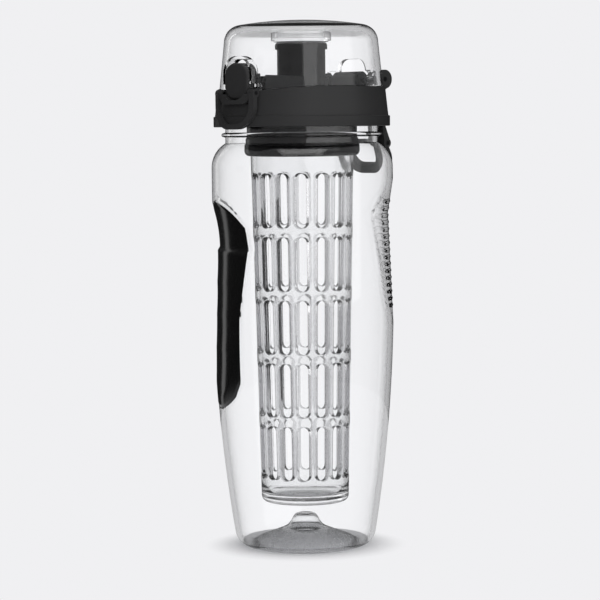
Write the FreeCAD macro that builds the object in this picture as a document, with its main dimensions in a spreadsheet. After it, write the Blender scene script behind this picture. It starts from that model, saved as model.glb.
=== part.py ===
import FreeCAD, Part
import math
import os
from types import SimpleNamespace

import Sketcher

# Fruit infuser water bottle. Millimetres, +Z up, origin at the centre of the foot.
# The latch button faces -Y, the lid's hinge and the carry loop are at +Y.

SIZES = {
    # bottle wall
    "wall": 2.4,
    "body_radius": 45.2,
    "straight_height": 60,
    "neck_height": 30,
    "shoulder_rise": 12.2,
    "shoulder_step": 7.0,
    "neck_top_z": 220,
    "heel_inset": 9.9,
    "heel_z": 7,
    "foot_inset": 8.3,
    "foot_width": 2,
    "punt_rim_inset": 1,
    "punt_rim_z": 3.2,
    "punt_step_radius": 9,
    "punt_step_z": 9,
    "punt_top_radius": 5.5,
    "punt_top_z": 15.5,
    # rubber grip
    "grip_angle": -28,
    "grip_axis_back": 34.8,
    "grip_dish_depth": 4.8,
    "grip_dish_rise": 26.5,
    "grip_dish_flare": 5.2,
    "grip_step": 1.1,
    "grip_step_drop": 40.5,
    "grip_scallop_pitch": 16.5,
    "grip_scallop_sag": 0.2,
    "grip_panel_flare": 1.6,
    "grip_exit_drop": 17,
    "grip_exit_flare": 1.6,
    "pad_thickness": 1.2,
    "pad_top_rise": 23.5,
    "pad_shoulder_drop": 12,
    "pad_shoulder_half_width": 27.2,
    "pad_hip_half_width": 28.1,
    "pad_hip_drop": 0.5,
    "pad_hip_round": 8,
    "pad_waist_half_width": 23.2,
    "pad_waist_drop": 33.5,
    "pad_low_half_width": 21.9,
    "pad_low_drop": 64.5,
    "pad_low_round": 9,
    "pad_foot_half_width": 18.1,
    "pad_foot_drop": 71.5,
    "pad_bottom_drop": 78.5,
    # ribbed recess
    "rib_angle": 138,
    "rib_axis_back": 12.5,
    "rib_deep_drop": 23,
    "rib_depth": 2.6,
    "rib_rise": 17,
    "rib_fall": 60,
    "rib_pitch": 3.45,
    "rib_first_rise": 5.8,
    "rib_wire_radius": 0.8,
    "rib_sink": 0.2,
    "rib_shy": 0.3,
    # screw cap
    "cap_thread_room": 2.3,
    "cap_skirt_drop": 9.8,
    "cap_band_wall": 3.5,
    "cap_band_height": 5,
    "cap_step_height": 0.4,
    "cap_band_step": 0.8,
    "cap_taper": 2.3,
    "rim_height": 5.7,
    "cap_edge_round": 0.5,
    "rim_wall": 3.3,
    "deck_thickness": 2.5,
    "gasket_reach_in": 3.6,
    "gasket_reach_out": 1.0,
    "gasket_thickness": 1.5,
    "gasket_seat_gap": 0.2,
    "dip_reach": 19.1,
    "dip_slope_share": 0.112,
    "infuser_room": 9.5,
    "spigot_wall": 2.7,
    "spigot_drop": 16.4,
    # front upstand
    "upstand_gap": 1.9,
    "upstand_wall": 2.5,
    "upstand_height": 11.4,
    "upstand_slope_share": 0.09,
    "upstand_near_x": 11.9,
    "upstand_reach": 12.5,
    # spout
    "spout_radius": 12,
    "spout_bore": 9.2,
    "spout_lip_radius": 13,
    "spout_lip_height": 3.4,
    "spout_height": 28,
    "spout_lip_round": 1.6,
    "spout_flange_radius": 15.5,
    "spout_flange_height": 2,
    "spout_tail_radius": 11.6,
    "spout_tail_drop": 2,
    "spout_seal_height": 1,
    # dome lid
    "dome_gap": 0.2,
    "dome_inset": 1.0,
    "dome_wall": 2.5,
    "dome_taper": 3.1,
    "dome_wall_height": 29.7,
    "crown_rise": 3.6,
    "dome_corner_round": 8.5,
    "seal_ring_radius": 15,
    "seal_ring_wall": 1.4,
    "seal_ring_lift": 1,
    "lid_seal_gap": 0.3,
    "lid_seal_thickness": 2.4,
    "lid_seal_wall": 2,
    # hinge
    "hinge_inset": 3.9,
    "hinge_lift": 3.8,
    "hinge_pin_radius": 1.25,
    "hinge_play": 0.06,
    "hinge_block_gap": 3.7,
    "hinge_block_radius": 4.5,
    "ear_width": 2.8,
    "inner_ear_radius": 2.8,
    "ear_rear_reach": 0.8,
    "ear_front_reach": 2.5,
    "ear_root": 1.2,
    "lug_width": 5.2,
    "ear_side_gap": 0.4,
    "lug_radius": 4.2,
    "hinge_width_share": 0.638,
    "outer_ear_radius": 4.75,
    "ear_relief": 0.4,
    "rear_notch_gap": 0.2,
    "rear_notch_lift": 1.3,
    "rear_arch_gap": 1.1,
    "rear_arch_rise": 11,
    "rear_arch_round": 6,
    # latch button
    "button_half_width": 8.5,
    "button_sink": 0.25,
    "button_height": 17.45,
    "button_round": 6.8,
    "button_proud": 2.0,
    "button_depth": 6.1,
    "button_face_round": 1.2,
    "button_gap": 0.45,
    "button_travel": 2,
    "carriage_half_width": 7.6,
    "carriage_lift": 1,
    "carriage_height": 11,
    "carriage_depth": 3.8,
    "wing_half_width": 11.4,
    "wing_depth": 2.0,
    "wing_lift": 7.5,
    "wing_height": 2.3,
    "catch_near_x": 9.4,
    "catch_height": 1.7,
    "catch_gap": 0.3,
    "catch_wing_gap": 0.3,
    "arch_headroom": 2.0,
    "arch_lip_width": 1.4,
    "arch_lip_reach": 1.9,
    "arch_lip_lift": 1.3,
    # latch spring and its seat
    "spring_lift": 7.2,
    "spring_mean_radius": 2.2,
    "spring_wire_radius": 0.3,
    "spring_gap": 0.1,
    "spring_room": 6.8,
    "seat_thickness": 2,
    "seat_half_width": 5,
    "seat_height": 11,
    "seat_boss_radius": 1.4,
    "seat_boss_length": 2,
    # bezel and lock bail
    "bezel_proud": 2.0,
    "bezel_half_width": 11.0,
    "bezel_round": 4.9,
    "bezel_drop": 2.8,
    "bezel_height": 5.0,
    "bezel_root": 0.5,
    "bail_pivot_inset": 3.2,
    "bail_pivot_lift": 0.3,
    "bail_pin_radius": 1,
    "bail_play": 0.05,
    "bail_lug_radius": 2,
    "bail_lug_near_x": 9.3,
    "bail_side_gap": 0.3,
    "bail_bar": 2.6,
    "bail_eye_radius": 2.1,
    "bail_band_gap": 0.4,
    "bail_thickness": 2.5,
    "bail_length": 17.5,
    "bail_round": 8.6,
    "bail_pin_sink": 1.4,
    # carry loop
    "loop_pivot_reach": 4.8,
    "loop_pivot_drop": 8.6,
    "loop_pin_radius": 1.1,
    "loop_play": 0.08,
    "loop_bar_radius": 2.2,
    "loop_bar_half_width": 11.2,
    "loop_half_width": 15.5,
    "loop_neck_drop": 3.2,
    "loop_drop": 16.6,
    "loop_round": 11.0,
    "loop_thickness": 3.2,
    "loop_hole_half_width": 10,
    "loop_hole_top_drop": 3.6,
    "loop_hole_low_drop": 12.3,
    "loop_hole_round": 6.0,
    "loop_tilt_angle": 28,
    "hanger_near_x": 11.5,
    "hanger_far_x": 17.5,
    "hanger_eye_radius": 2.3,
    "hanger_root_lift": 2.8,
    "hanger_root_inner_sink": 1.5,
    "hanger_root_outer_sink": 0.3,
    # infuser
    "collar_wall": 2.5,
    "collar_waist_step": 0.7,
    "collar_drop": 25,
    "collar_top_gap": 0.6,
    "collar_round": 2.2,
    "collar_groove_depth": 0.6,
    "collar_groove_lift": 9.4,
    "collar_thread_gap": 0.3,
    "collar_lip_height": 4,
    "basket_inset": 0.6,
    "basket_play": 0.2,
    "basket_flange_height": 2.5,
    "basket_taper": 3.8,
    "basket_foot_gap": 7.2,
    "basket_wall": 2,
    "basket_floor": 4.5,
    "basket_heel_round": 3,
    "slot_width_share": 0.265,
    "slot_bar": 4.6,
    "slot_low_gap": 3.5,
    "slot_top_drop": 7.8,
    "slot_spread_angle": 152.6,
    "basket_turn_angle": 71.4,
    # shared
    "overrun": 6,
}
FINGER_COUNT = 4
RIB_COUNT = 16
SLOT_ROWS = 5
SLOT_PAIRS = 8
SPRING_TURNS = 4
ON_AXIS = 1e-9
SAME_PLACE = 1e-4

doc = FreeCAD.newDocument("InfuserBottle")
sheet = doc.addObject("Spreadsheet::Sheet", "Dims")
for row, (alias, number) in enumerate(SIZES.items(), start=1):
    sheet.set("A%d" % row, alias)
    sheet.set("B%d" % row, str(number))
    sheet.setAlias("B%d" % row, alias)
doc.recompute()


class Size:
    """A size worked out from the sheet: its number now, and the formula that binds it."""

    def __init__(self, number, formula):
        self.number = number
        self.formula = formula

    def joined(self, other, sign, turned=False):
        if not isinstance(other, Size):
            other = Size(other, repr(other))
        first, second = (other, self) if turned else (self, other)
        number = {
            "+": lambda a, b: a + b,
            "-": lambda a, b: a - b,
            "*": lambda a, b: a * b,
            "/": lambda a, b: a / b,
        }[sign](first.number, second.number)
        return Size(number, "(%s %s %s)" % (first.formula, sign, second.formula))

    def __add__(self, other):
        return self.joined(other, "+")

    def __radd__(self, other):
        return self.joined(other, "+", True)

    def __sub__(self, other):
        return self.joined(other, "-")

    def __rsub__(self, other):
        return self.joined(other, "-", True)

    def __mul__(self, other):
        return self.joined(other, "*")

    def __rmul__(self, other):
        return self.joined(other, "*", True)

    def __truediv__(self, other):
        return self.joined(other, "/")

    def __neg__(self):
        return Size(-self.number, "(-%s)" % self.formula)


dim = SimpleNamespace(**{alias: Size(sheet.get(alias), "Dims." + alias) for alias in SIZES})
zero = Size(0.0, "0")

# Sizes that follow from others by a named inset, wall or gap: bottle and grip
dim.neck_radius = dim.body_radius - dim.shoulder_step
dim.heel_radius = dim.body_radius - dim.heel_inset
dim.foot_radius = dim.heel_radius - dim.foot_inset
dim.shoulder_low_z = dim.neck_top_z - dim.neck_height
dim.straight_low_z = dim.shoulder_low_z - dim.straight_height
dim.grip_dish_radius = dim.body_radius - dim.grip_dish_depth
dim.grip_step_z = dim.shoulder_low_z - dim.grip_step_drop
dim.pad_top_z = dim.grip_step_z + dim.pad_top_rise
dim.pad_hip_z = dim.grip_step_z - dim.pad_hip_drop
dim.pad_waist_z = dim.grip_step_z - dim.pad_waist_drop
dim.pad_low_z = dim.grip_step_z - dim.pad_low_drop
dim.pad_foot_z = dim.grip_step_z - dim.pad_foot_drop
dim.pad_bottom_z = dim.grip_step_z - dim.pad_bottom_drop
dim.rib_deep_z = dim.shoulder_low_z - dim.rib_deep_drop
dim.rib_first_z = dim.rib_deep_z + dim.rib_first_rise

# Sizes that follow: cap and spout
dim.deck_top_z = dim.neck_top_z + dim.gasket_thickness + dim.deck_thickness
dim.cap_low_z = dim.neck_top_z - dim.cap_skirt_drop
dim.cap_top_z = dim.deck_top_z + dim.rim_height
dim.cap_bore_radius = dim.neck_radius + dim.cap_thread_room
dim.cap_band_radius = dim.cap_bore_radius + dim.cap_band_wall
dim.cap_skirt_low_radius = dim.cap_band_radius - dim.cap_band_step
dim.cap_top_radius = dim.cap_band_radius - dim.cap_taper
dim.rim_inner_radius = dim.cap_top_radius - dim.rim_wall
dim.gasket_inner_radius = dim.neck_radius - dim.gasket_reach_in
dim.gasket_outer_radius = dim.neck_radius + dim.gasket_reach_out
dim.dip_start_back = dim.cap_top_radius - dim.dip_reach
dim.spigot_radius = dim.neck_radius - dim.wall - dim.infuser_room
dim.spigot_low_z = dim.neck_top_z - dim.spigot_drop
dim.upstand_radius = dim.rim_inner_radius - dim.upstand_gap
dim.upstand_top_z = dim.deck_top_z + dim.upstand_height
dim.upstand_back_y = dim.upstand_radius - dim.upstand_reach
dim.spout_top_z = dim.deck_top_z + dim.spout_height

# Sizes that follow: dome lid and its hinge
dim.dome_radius = dim.cap_top_radius - dim.dome_inset
dim.dome_corner_radius = dim.dome_radius - dim.dome_taper
dim.dome_corner_z = dim.cap_top_z + dim.dome_wall_height
dim.dome_top_z = dim.dome_corner_z + dim.crown_rise
dim.seal_ring_low_z = dim.spout_top_z + dim.seal_ring_lift
dim.hinge_y = dim.rim_inner_radius - dim.hinge_inset
dim.hinge_z = dim.cap_top_z + dim.hinge_lift
dim.outer_ear_far_x = dim.rim_inner_radius * dim.hinge_width_share
dim.outer_ear_near_x = dim.outer_ear_far_x - dim.ear_width
dim.lug_far_x = dim.outer_ear_near_x - dim.ear_side_gap
dim.lug_near_x = dim.lug_far_x - dim.lug_width
dim.inner_ear_far_x = dim.lug_near_x - dim.ear_side_gap
dim.inner_ear_near_x = dim.inner_ear_far_x - dim.ear_width
dim.hinge_block_half_width = dim.inner_ear_near_x - dim.hinge_block_gap
dim.rear_notch_half_width = dim.outer_ear_near_x - dim.rear_notch_gap
dim.rear_notch_z = dim.deck_top_z + dim.rear_notch_lift
dim.rear_arch_half_width = dim.hinge_block_half_width + dim.rear_arch_gap
dim.rear_arch_top_z = dim.hinge_z + dim.rear_arch_rise

# Sizes that follow: latch button, bezel, bail and carry loop
dim.button_low_z = dim.deck_top_z - dim.button_sink
dim.button_top_z = dim.button_low_z + dim.button_height
dim.button_face_y = dim.cap_top_radius + dim.button_proud
dim.button_back_y = dim.button_face_y - dim.button_depth
dim.carriage_low_z = dim.deck_top_z + dim.carriage_lift
dim.carriage_top_z = dim.carriage_low_z + dim.carriage_height
dim.carriage_back_y = dim.button_back_y - dim.carriage_depth
dim.wing_front_y = dim.carriage_back_y + dim.wing_depth
dim.wing_low_z = dim.deck_top_z + dim.wing_lift
dim.arch_lip_front_y = dim.dome_radius + dim.arch_lip_reach
dim.arch_lip_low_z = dim.cap_top_z + dim.arch_lip_lift
dim.spring_z = dim.deck_top_z + dim.spring_lift
dim.seat_front_y = dim.carriage_back_y - dim.spring_room
dim.bezel_radius = dim.cap_band_radius + dim.bezel_proud
dim.bezel_low_z = dim.deck_top_z - dim.bezel_drop
dim.bezel_top_z = dim.bezel_low_z + dim.bezel_height
dim.bezel_back_y = dim.cap_bore_radius + dim.bezel_root
dim.bail_pivot_y = dim.bezel_radius - dim.bail_pivot_inset
dim.bail_pivot_z = dim.bezel_top_z + dim.bail_pivot_lift
dim.bail_inner_radius = dim.cap_band_radius + dim.bail_band_gap
dim.loop_pivot_y = dim.neck_radius + dim.loop_pivot_reach
dim.loop_pivot_z = dim.cap_low_z - dim.loop_pivot_drop
dim.hanger_root_z = dim.cap_low_z + dim.hanger_root_lift
dim.hanger_root_inner_y = dim.cap_bore_radius - dim.hanger_root_inner_sink
dim.hanger_root_outer_y = dim.cap_bore_radius - dim.hanger_root_outer_sink

# Sizes that follow: infuser
dim.collar_radius = dim.spigot_radius + dim.collar_wall
dim.collar_waist_radius = dim.collar_radius - dim.collar_waist_step
dim.collar_low_z = dim.neck_top_z - dim.collar_drop
dim.collar_groove_low_z = dim.collar_low_z + dim.collar_groove_lift
dim.basket_radius = dim.spigot_radius - dim.basket_inset
dim.basket_low_radius = dim.basket_radius - dim.basket_taper
dim.basket_low_z = dim.punt_top_z + dim.basket_foot_gap
dim.slot_width = dim.basket_low_radius * dim.slot_width_share
dim.slot_top_z = dim.collar_low_z - dim.slot_top_drop
dim.slot_run = dim.slot_top_z - dim.basket_low_z - dim.basket_floor - dim.slot_low_gap
dim.slot_row_pitch = dim.slot_run / SLOT_ROWS
dim.slot_length = dim.slot_row_pitch - dim.slot_bar


def bind(feature, name, size):
    feature.setExpression(name, size.formula)


def origin_plane(body, role):
    return [plane for plane in body.Origin.OriginFeatures if plane.Role == role][0]


def rounded(corners):
    """Replaces each corner (x, y, radius) between square edges by an arc's two ends."""
    path = []
    for index, corner in enumerate(corners):
        if len(corner) != 3:
            path.append(corner)
            continue
        x, y, radius = corner
        ends = []
        for near in (corners[index - 1], corners[(index + 1) % len(corners)]):
            across = near[0].number - x.number
            along = near[1].number - y.number
            if abs(across) > abs(along):
                ends.append((x + radius * math.copysign(1, across), y))
            else:
                ends.append((x, y + radius * math.copysign(1, along)))
        before = FreeCAD.Vector(x.number - ends[0][0].number, y.number - ends[0][1].number, 0)
        after = FreeCAD.Vector(ends[1][0].number - x.number, ends[1][1].number - y.number, 0)
        turn = "left" if before.cross(after).z > 0 else "right"
        path.append(ends[0] + (turn, radius))
        path.append(ends[1])
    return path


def arc_between(start, end, radius, turn):
    """The arc under a half circle from start to end; a right turn runs end to start."""
    chord = end - start
    middle = (start + end) * 0.5
    height = math.sqrt(max(radius * radius - chord.Length * chord.Length / 4, 0))
    normal = FreeCAD.Vector(-chord.y, chord.x, 0)
    normal.normalize()
    centre = middle + normal * (height if turn == "left" else -height)
    first, last = (start, end) if turn == "left" else (end, start)
    angles = [math.atan2(point.y - centre.y, point.x - centre.x) for point in (first, last)]
    if angles[1] < angles[0]:
        angles[1] += 2 * math.pi
    circle = Part.Circle(centre, FreeCAD.Vector(0, 0, 1), radius)
    return Part.ArcOfCircle(circle, angles[0], angles[1])


def place_point(sketch, edge, end, axis, size):
    """Ties one coordinate of an edge's end to the sheet."""
    if abs(size.number) < ON_AXIS:
        axis_line = -2 if axis == "DistanceX" else -1
        sketch.addConstraint(Sketcher.Constraint("PointOnObject", edge, end, axis_line))
        return
    if size.number > 0:
        tie = Sketcher.Constraint(axis, -1, 1, edge, end, size.number)
    else:
        size = -size
        tie = Sketcher.Constraint(axis, edge, end, -1, 1, size.number)
    bind(sketch, "Constraints[%d]" % sketch.addConstraint(tie), size)


def draw_loop(sketch, corners):
    """Adds one closed outline of lines and arcs whose corners follow the sheet."""
    path = rounded(corners)
    points = [FreeCAD.Vector(step[0].number, step[1].number, 0) for step in path]
    edges = []
    for index, step in enumerate(path):
        start, end = points[index], points[(index + 1) % len(path)]
        if len(step) == 2:
            edge = sketch.addGeometry(Part.LineSegment(start, end), False)
            edges.append((edge, 1, 2))
        else:
            edge = sketch.addGeometry(arc_between(start, end, step[3].number, step[2]), False)
            edges.append((edge, 1, 2) if step[2] == "left" else (edge, 2, 1))
    for index, (edge, first, last) in enumerate(edges):
        following, joined = edges[(index + 1) % len(edges)][:2]
        sketch.addConstraint(Sketcher.Constraint("Coincident", edge, last, following, joined))
    for index, (edge, first, last) in enumerate(edges):
        step = path[index]
        place_point(sketch, edge, first, "DistanceX", step[0])
        place_point(sketch, edge, first, "DistanceY", step[1])
        if len(step) == 4:
            tie = Sketcher.Constraint("Radius", edge, step[3].number)
            bind(sketch, "Constraints[%d]" % sketch.addConstraint(tie), step[3])


def new_sketch(body, role, *loops):
    sketch = body.newObject("Sketcher::SketchObject", body.Name + "_outline")
    sketch.AttachmentSupport = [(origin_plane(body, role), "")]
    sketch.MapMode = "FlatFace"
    for corners in loops:
        draw_loop(sketch, corners)
    return sketch


def revolved(name, corners):
    """A body turned about Z from its half section, given as (radius, height) corners."""
    body = doc.addObject("PartDesign::Body", name)
    sketch = new_sketch(body, "XZ_Plane", corners)
    turn = body.newObject("PartDesign::Revolution", name + "_turn")
    turn.Profile = sketch
    turn.ReferenceAxis = (sketch, ["V_Axis"])
    turn.Angle = 360
    return body


def prism(name, role, low, high, *loops):
    """A body pushed from low to high along the axis square to its outline's plane."""
    body = doc.addObject("PartDesign::Body", name)
    sketch = new_sketch(body, role, *loops)
    bind(sketch, "AttachmentOffset.Base.z", -high if role == "XZ_Plane" else low)
    push = body.newObject("PartDesign::Pad", name + "_push")
    push.Profile = sketch
    bind(push, "Length", high - low)
    return body


def rod(name, axis, radius, low, high, across, along):
    """A round bar along X, Y or Z between low and high; across, along place its centre."""
    bar = doc.addObject("Part::Cylinder", name)
    bind(bar, "Radius", radius)
    bind(bar, "Height", high - low)
    turns = {"X": ("y", 90), "Y": ("x", -90), "Z": ("z", 0)}
    letter, angle = turns[axis]
    spin_axis = FreeCAD.Vector(float(letter == "x"), float(letter == "y"), float(letter == "z"))
    bar.Placement = FreeCAD.Placement(FreeCAD.Vector(), FreeCAD.Rotation(spin_axis, angle))
    places = {"X": (low, across, along), "Y": (across, low, along), "Z": (across, along, low)}[axis]
    for letter, size in zip("xyz", places):
        bind(bar, "Placement.Base." + letter, size)
    return bar


def block(name, x_span, y_span, z_span):
    box = doc.addObject("Part::Box", name)
    for side, letter, span in zip(("Length", "Width", "Height"), "xyz", (x_span, y_span, z_span)):
        bind(box, side, span[1] - span[0])
        bind(box, "Placement.Base." + letter, span[0])
    return box


def cut(name, base, *tools):
    for number, tool in enumerate(tools, start=1):
        step = doc.addObject("Part::Cut", name if number == len(tools) else "%s_cut_%d" % (name, number))
        step.Base = base
        step.Tool = tool
        base = step
    return base


def fuse(name, *pieces):
    union = doc.addObject("Part::MultiFuse", name)
    union.Shapes = list(pieces)
    return union


def common(name, *pieces):
    shared = doc.addObject("Part::MultiCommon", name)
    shared.Shapes = list(pieces)
    return shared


def both_sides(near, far):
    """The same span of X on the right and on the left."""
    return (("right", (near, far)), ("left", (-far, -near)))


def tangent_radius(run, rise):
    """Radius of an arc that starts along rise and has moved by run at its end."""
    return (run * run + rise * rise) / (2 * run)


def turned_about_z(body, angle, back):
    """Turns a body about Z to face angle and sets its axis behind the bottle's."""
    spin = FreeCAD.Rotation(FreeCAD.Vector(0, 0, 1), angle.number)
    body.Placement = FreeCAD.Placement(FreeCAD.Vector(), spin)
    bind(body, "Placement.Rotation.Angle", angle)
    body.setExpression("Placement.Base.x", "-sin(%s) * %s" % (angle.formula, back.formula))
    body.setExpression("Placement.Base.y", "cos(%s) * %s" % (angle.formula, back.formula))
    return body


# Bottle: a clear waisted wall turned about Z, scooped on two sides for the hand
shoulder_top_z = dim.shoulder_low_z + dim.shoulder_rise


def bottle_side(inset):
    """The bottle's side from heel to neck, moved inwards by inset, with its heel arc."""
    heel_radius = dim.heel_radius - inset
    side_radius = dim.body_radius - inset
    heel_round = tangent_radius(dim.heel_z - inset, heel_radius - dim.foot_radius)
    side_round = tangent_radius(side_radius - heel_radius, dim.straight_low_z - dim.heel_z)
    shoulder_round = tangent_radius(dim.body_radius - dim.neck_radius, dim.shoulder_rise)
    return [
        (dim.foot_radius, inset, "left", heel_round),
        (heel_radius, dim.heel_z, "left", side_round),
        (side_radius, dim.straight_low_z),
        (side_radius, dim.shoulder_low_z, "left", shoulder_round),
        (dim.neck_radius - inset, shoulder_top_z),
    ]


def bottle_floor(lift):
    """The pushed-up base from the foot ring to the centre, raised by lift."""
    return [
        (zero, dim.punt_top_z + lift),
        (dim.punt_top_radius, dim.punt_top_z + lift),
        (dim.punt_step_radius, dim.punt_step_z + lift),
        (dim.foot_radius - dim.foot_width - dim.punt_rim_inset, dim.punt_rim_z + lift),
        (dim.foot_radius - dim.foot_width, lift),
    ]


def bottle_solid(name, inset, lift, top_z):
    corners = bottle_floor(lift) + bottle_side(inset)
    corners += [(dim.neck_radius - inset, top_z), (zero, top_z)]
    return revolved(name, corners)


def grip_scoop(name, inset, sag):
    """The hand grip's surface about its own axis behind the bottle: dish, step, finger grooves."""
    clear_radius = dim.body_radius + dim.grip_axis_back + dim.overrun
    dish = dim.grip_dish_radius + dim.grip_axis_back - inset
    dish_top = dish + dim.grip_dish_flare
    panel_top = dish + dim.grip_step
    low_z = dim.grip_step_z - FINGER_COUNT * dim.grip_scallop_pitch
    panel_low = panel_top + dim.grip_panel_flare
    corners = [
        (zero, -dim.overrun),
        (clear_radius, -dim.overrun),
        (clear_radius, low_z - dim.grip_exit_drop),
        (panel_low + dim.grip_exit_flare, low_z - dim.grip_exit_drop),
    ]
    for finger in range(FINGER_COUNT):
        share = finger / FINGER_COUNT
        ridge = (panel_low - dim.grip_panel_flare * share, low_z + dim.grip_scallop_pitch * finger)
        if sag:
            half = dim.grip_scallop_pitch / 2
            ridge += ("right", tangent_radius(sag, half))
        corners.append(ridge)
    corners += [
        (panel_top, dim.grip_step_z),
        (dish, dim.grip_step_z, "right", tangent_radius(dim.grip_dish_flare, dim.grip_dish_rise)),
        (dish_top, dim.grip_step_z + dim.grip_dish_rise),
        (clear_radius, dim.grip_step_z + dim.grip_dish_rise),
        (clear_radius, dim.neck_top_z + dim.overrun),
        (zero, dim.neck_top_z + dim.overrun),
    ]
    return turned_about_z(revolved(name, corners), dim.grip_angle, dim.grip_axis_back)


def rib_floor(height):
    """The ribbed recess's distance from the bottle's axis at a height."""
    deep = dim.body_radius - dim.rib_depth
    if height.number > dim.rib_deep_z.number:
        return deep + dim.rib_depth * (height - dim.rib_deep_z) / dim.rib_rise
    return deep + dim.rib_depth * (dim.rib_deep_z - height) / dim.rib_fall


def rib_scoop(name, inset):
    """The ribbed recess's floor, deepest near its top and fading out below."""
    clear_radius = dim.body_radius + dim.rib_axis_back + dim.overrun
    back = dim.rib_axis_back - inset
    fade_z = dim.rib_deep_z - dim.rib_fall
    start_z = dim.rib_deep_z + dim.rib_rise
    corners = [
        (zero, -dim.overrun),
        (clear_radius, -dim.overrun),
        (clear_radius, fade_z),
        (rib_floor(fade_z) + back, fade_z),
        (rib_floor(dim.rib_deep_z) + back, dim.rib_deep_z),
        (rib_floor(start_z) + back, start_z),
        (clear_radius, start_z),
        (clear_radius, dim.neck_top_z + dim.overrun),
        (zero, dim.neck_top_z + dim.overrun),
    ]
    return turned_about_z(revolved(name, corners), dim.rib_angle, dim.rib_axis_back)


pad_shoulder_z = dim.pad_top_z - dim.pad_shoulder_drop
pad_top_round = tangent_radius(dim.pad_shoulder_drop, dim.pad_shoulder_half_width)
pad_bottom_round = tangent_radius(dim.pad_foot_z - dim.pad_bottom_z, dim.pad_foot_half_width)
pad_outline = prism(
    "pad_outline",
    "XZ_Plane",
    -(dim.body_radius + dim.overrun),
    zero,
    [
        (zero, dim.pad_bottom_z, "left", pad_bottom_round),
        (dim.pad_foot_half_width, dim.pad_foot_z, "left", dim.pad_low_round),
        (dim.pad_low_half_width, dim.pad_low_z),
        (dim.pad_waist_half_width, dim.pad_waist_z),
        (dim.pad_hip_half_width, dim.pad_hip_z, "left", dim.pad_hip_round),
        (dim.pad_shoulder_half_width, pad_shoulder_z, "left", pad_top_round),
        (zero, dim.pad_top_z, "left", pad_top_round),
        (-dim.pad_shoulder_half_width, pad_shoulder_z, "left", dim.pad_hip_round),
        (-dim.pad_hip_half_width, dim.pad_hip_z),
        (-dim.pad_waist_half_width, dim.pad_waist_z),
        (-dim.pad_low_half_width, dim.pad_low_z, "left", dim.pad_low_round),
        (-dim.pad_foot_half_width, dim.pad_foot_z, "left", pad_bottom_round),
    ],
)
turned_about_z(pad_outline, dim.grip_angle, zero)

bottle_outer = bottle_solid("bottle_outer", zero, zero, dim.neck_top_z)
pad_wall = bottle_solid("pad_wall", dim.pad_thickness, dim.pad_thickness, dim.neck_top_z + dim.overrun)
pad_floor = grip_scoop("pad_floor", dim.pad_thickness, None)


def outside_pad_bed(name, solid):
    """What of a solid lies outside the bed that the grip pad is stuck to."""
    beyond_wall = cut(name + "_beyond_wall", solid, pad_wall)
    beyond_floor = cut(name + "_beyond_floor", solid, pad_floor)
    return fuse(name, beyond_wall, beyond_floor)


pad_pocket = outside_pad_bed("pad_pocket", pad_outline)
cavity = common(
    "cavity",
    bottle_solid("cavity_wall", dim.wall, dim.wall, dim.neck_top_z + dim.overrun),
    grip_scoop("cavity_grip", dim.wall, None),
    rib_scoop("cavity_ribs", dim.wall),
)
rings = []
for rib in range(RIB_COUNT):
    height = dim.rib_first_z - rib * dim.rib_pitch
    ring = doc.addObject("Part::Torus", "rib_ring_%d" % rib)
    bind(ring, "Radius1", rib_floor(height) + dim.rib_axis_back - dim.rib_sink)
    bind(ring, "Radius2", dim.rib_wire_radius)
    turned_about_z(ring, dim.rib_angle, dim.rib_axis_back)
    bind(ring, "Placement.Base.z", height)
    rings.append(ring)
rib_limit = bottle_solid("rib_limit", dim.rib_shy, dim.rib_shy, dim.neck_top_z)
ribs = common("ribs", fuse("rib_rings", *rings), rib_limit)
bottle_wall = cut(
    "bottle_wall",
    common("bottle_form", bottle_outer, rib_scoop("recess", zero)),
    pad_pocket,
    cavity,
)
bottle_body = fuse("bottle_body", bottle_wall, ribs)

# Rubber grip: soft pad that fills the pocket flush with the bottle's side
pad_face = grip_scoop("pad_face", zero, dim.grip_scallop_sag)
rubber_grip = outside_pad_bed("rubber_grip", common("pad_form", pad_outline, bottle_outer, pad_face))

# Screw cap: skirt, deck and infuser spigot in one turned section
deck_low_z = dim.deck_top_z - dim.deck_thickness
band_top_z = dim.cap_low_z + dim.cap_band_height
gasket_seat_z = deck_low_z - dim.gasket_thickness - dim.gasket_seat_gap
cap_shell = revolved(
    "cap_shell",
    [
        (dim.spout_tail_radius, deck_low_z),
        (dim.spigot_radius - dim.spigot_wall, deck_low_z),
        (dim.spigot_radius - dim.spigot_wall, dim.spigot_low_z),
        (dim.spigot_radius, dim.spigot_low_z),
        (dim.spigot_radius, deck_low_z),
        (dim.gasket_outer_radius + dim.gasket_seat_gap, deck_low_z),
        (dim.gasket_outer_radius + dim.gasket_seat_gap, gasket_seat_z),
        (dim.cap_bore_radius, gasket_seat_z),
        (dim.cap_bore_radius, dim.cap_low_z),
        (dim.cap_band_radius, dim.cap_low_z, dim.cap_edge_round),
        (dim.cap_band_radius, band_top_z),
        (dim.cap_skirt_low_radius, band_top_z + dim.cap_step_height),
        (dim.cap_top_radius, dim.cap_top_z),
        (dim.rim_inner_radius, dim.cap_top_z),
        (dim.rim_inner_radius, dim.deck_top_z),
        (dim.spout_tail_radius, dim.deck_top_z),
    ],
)

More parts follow.
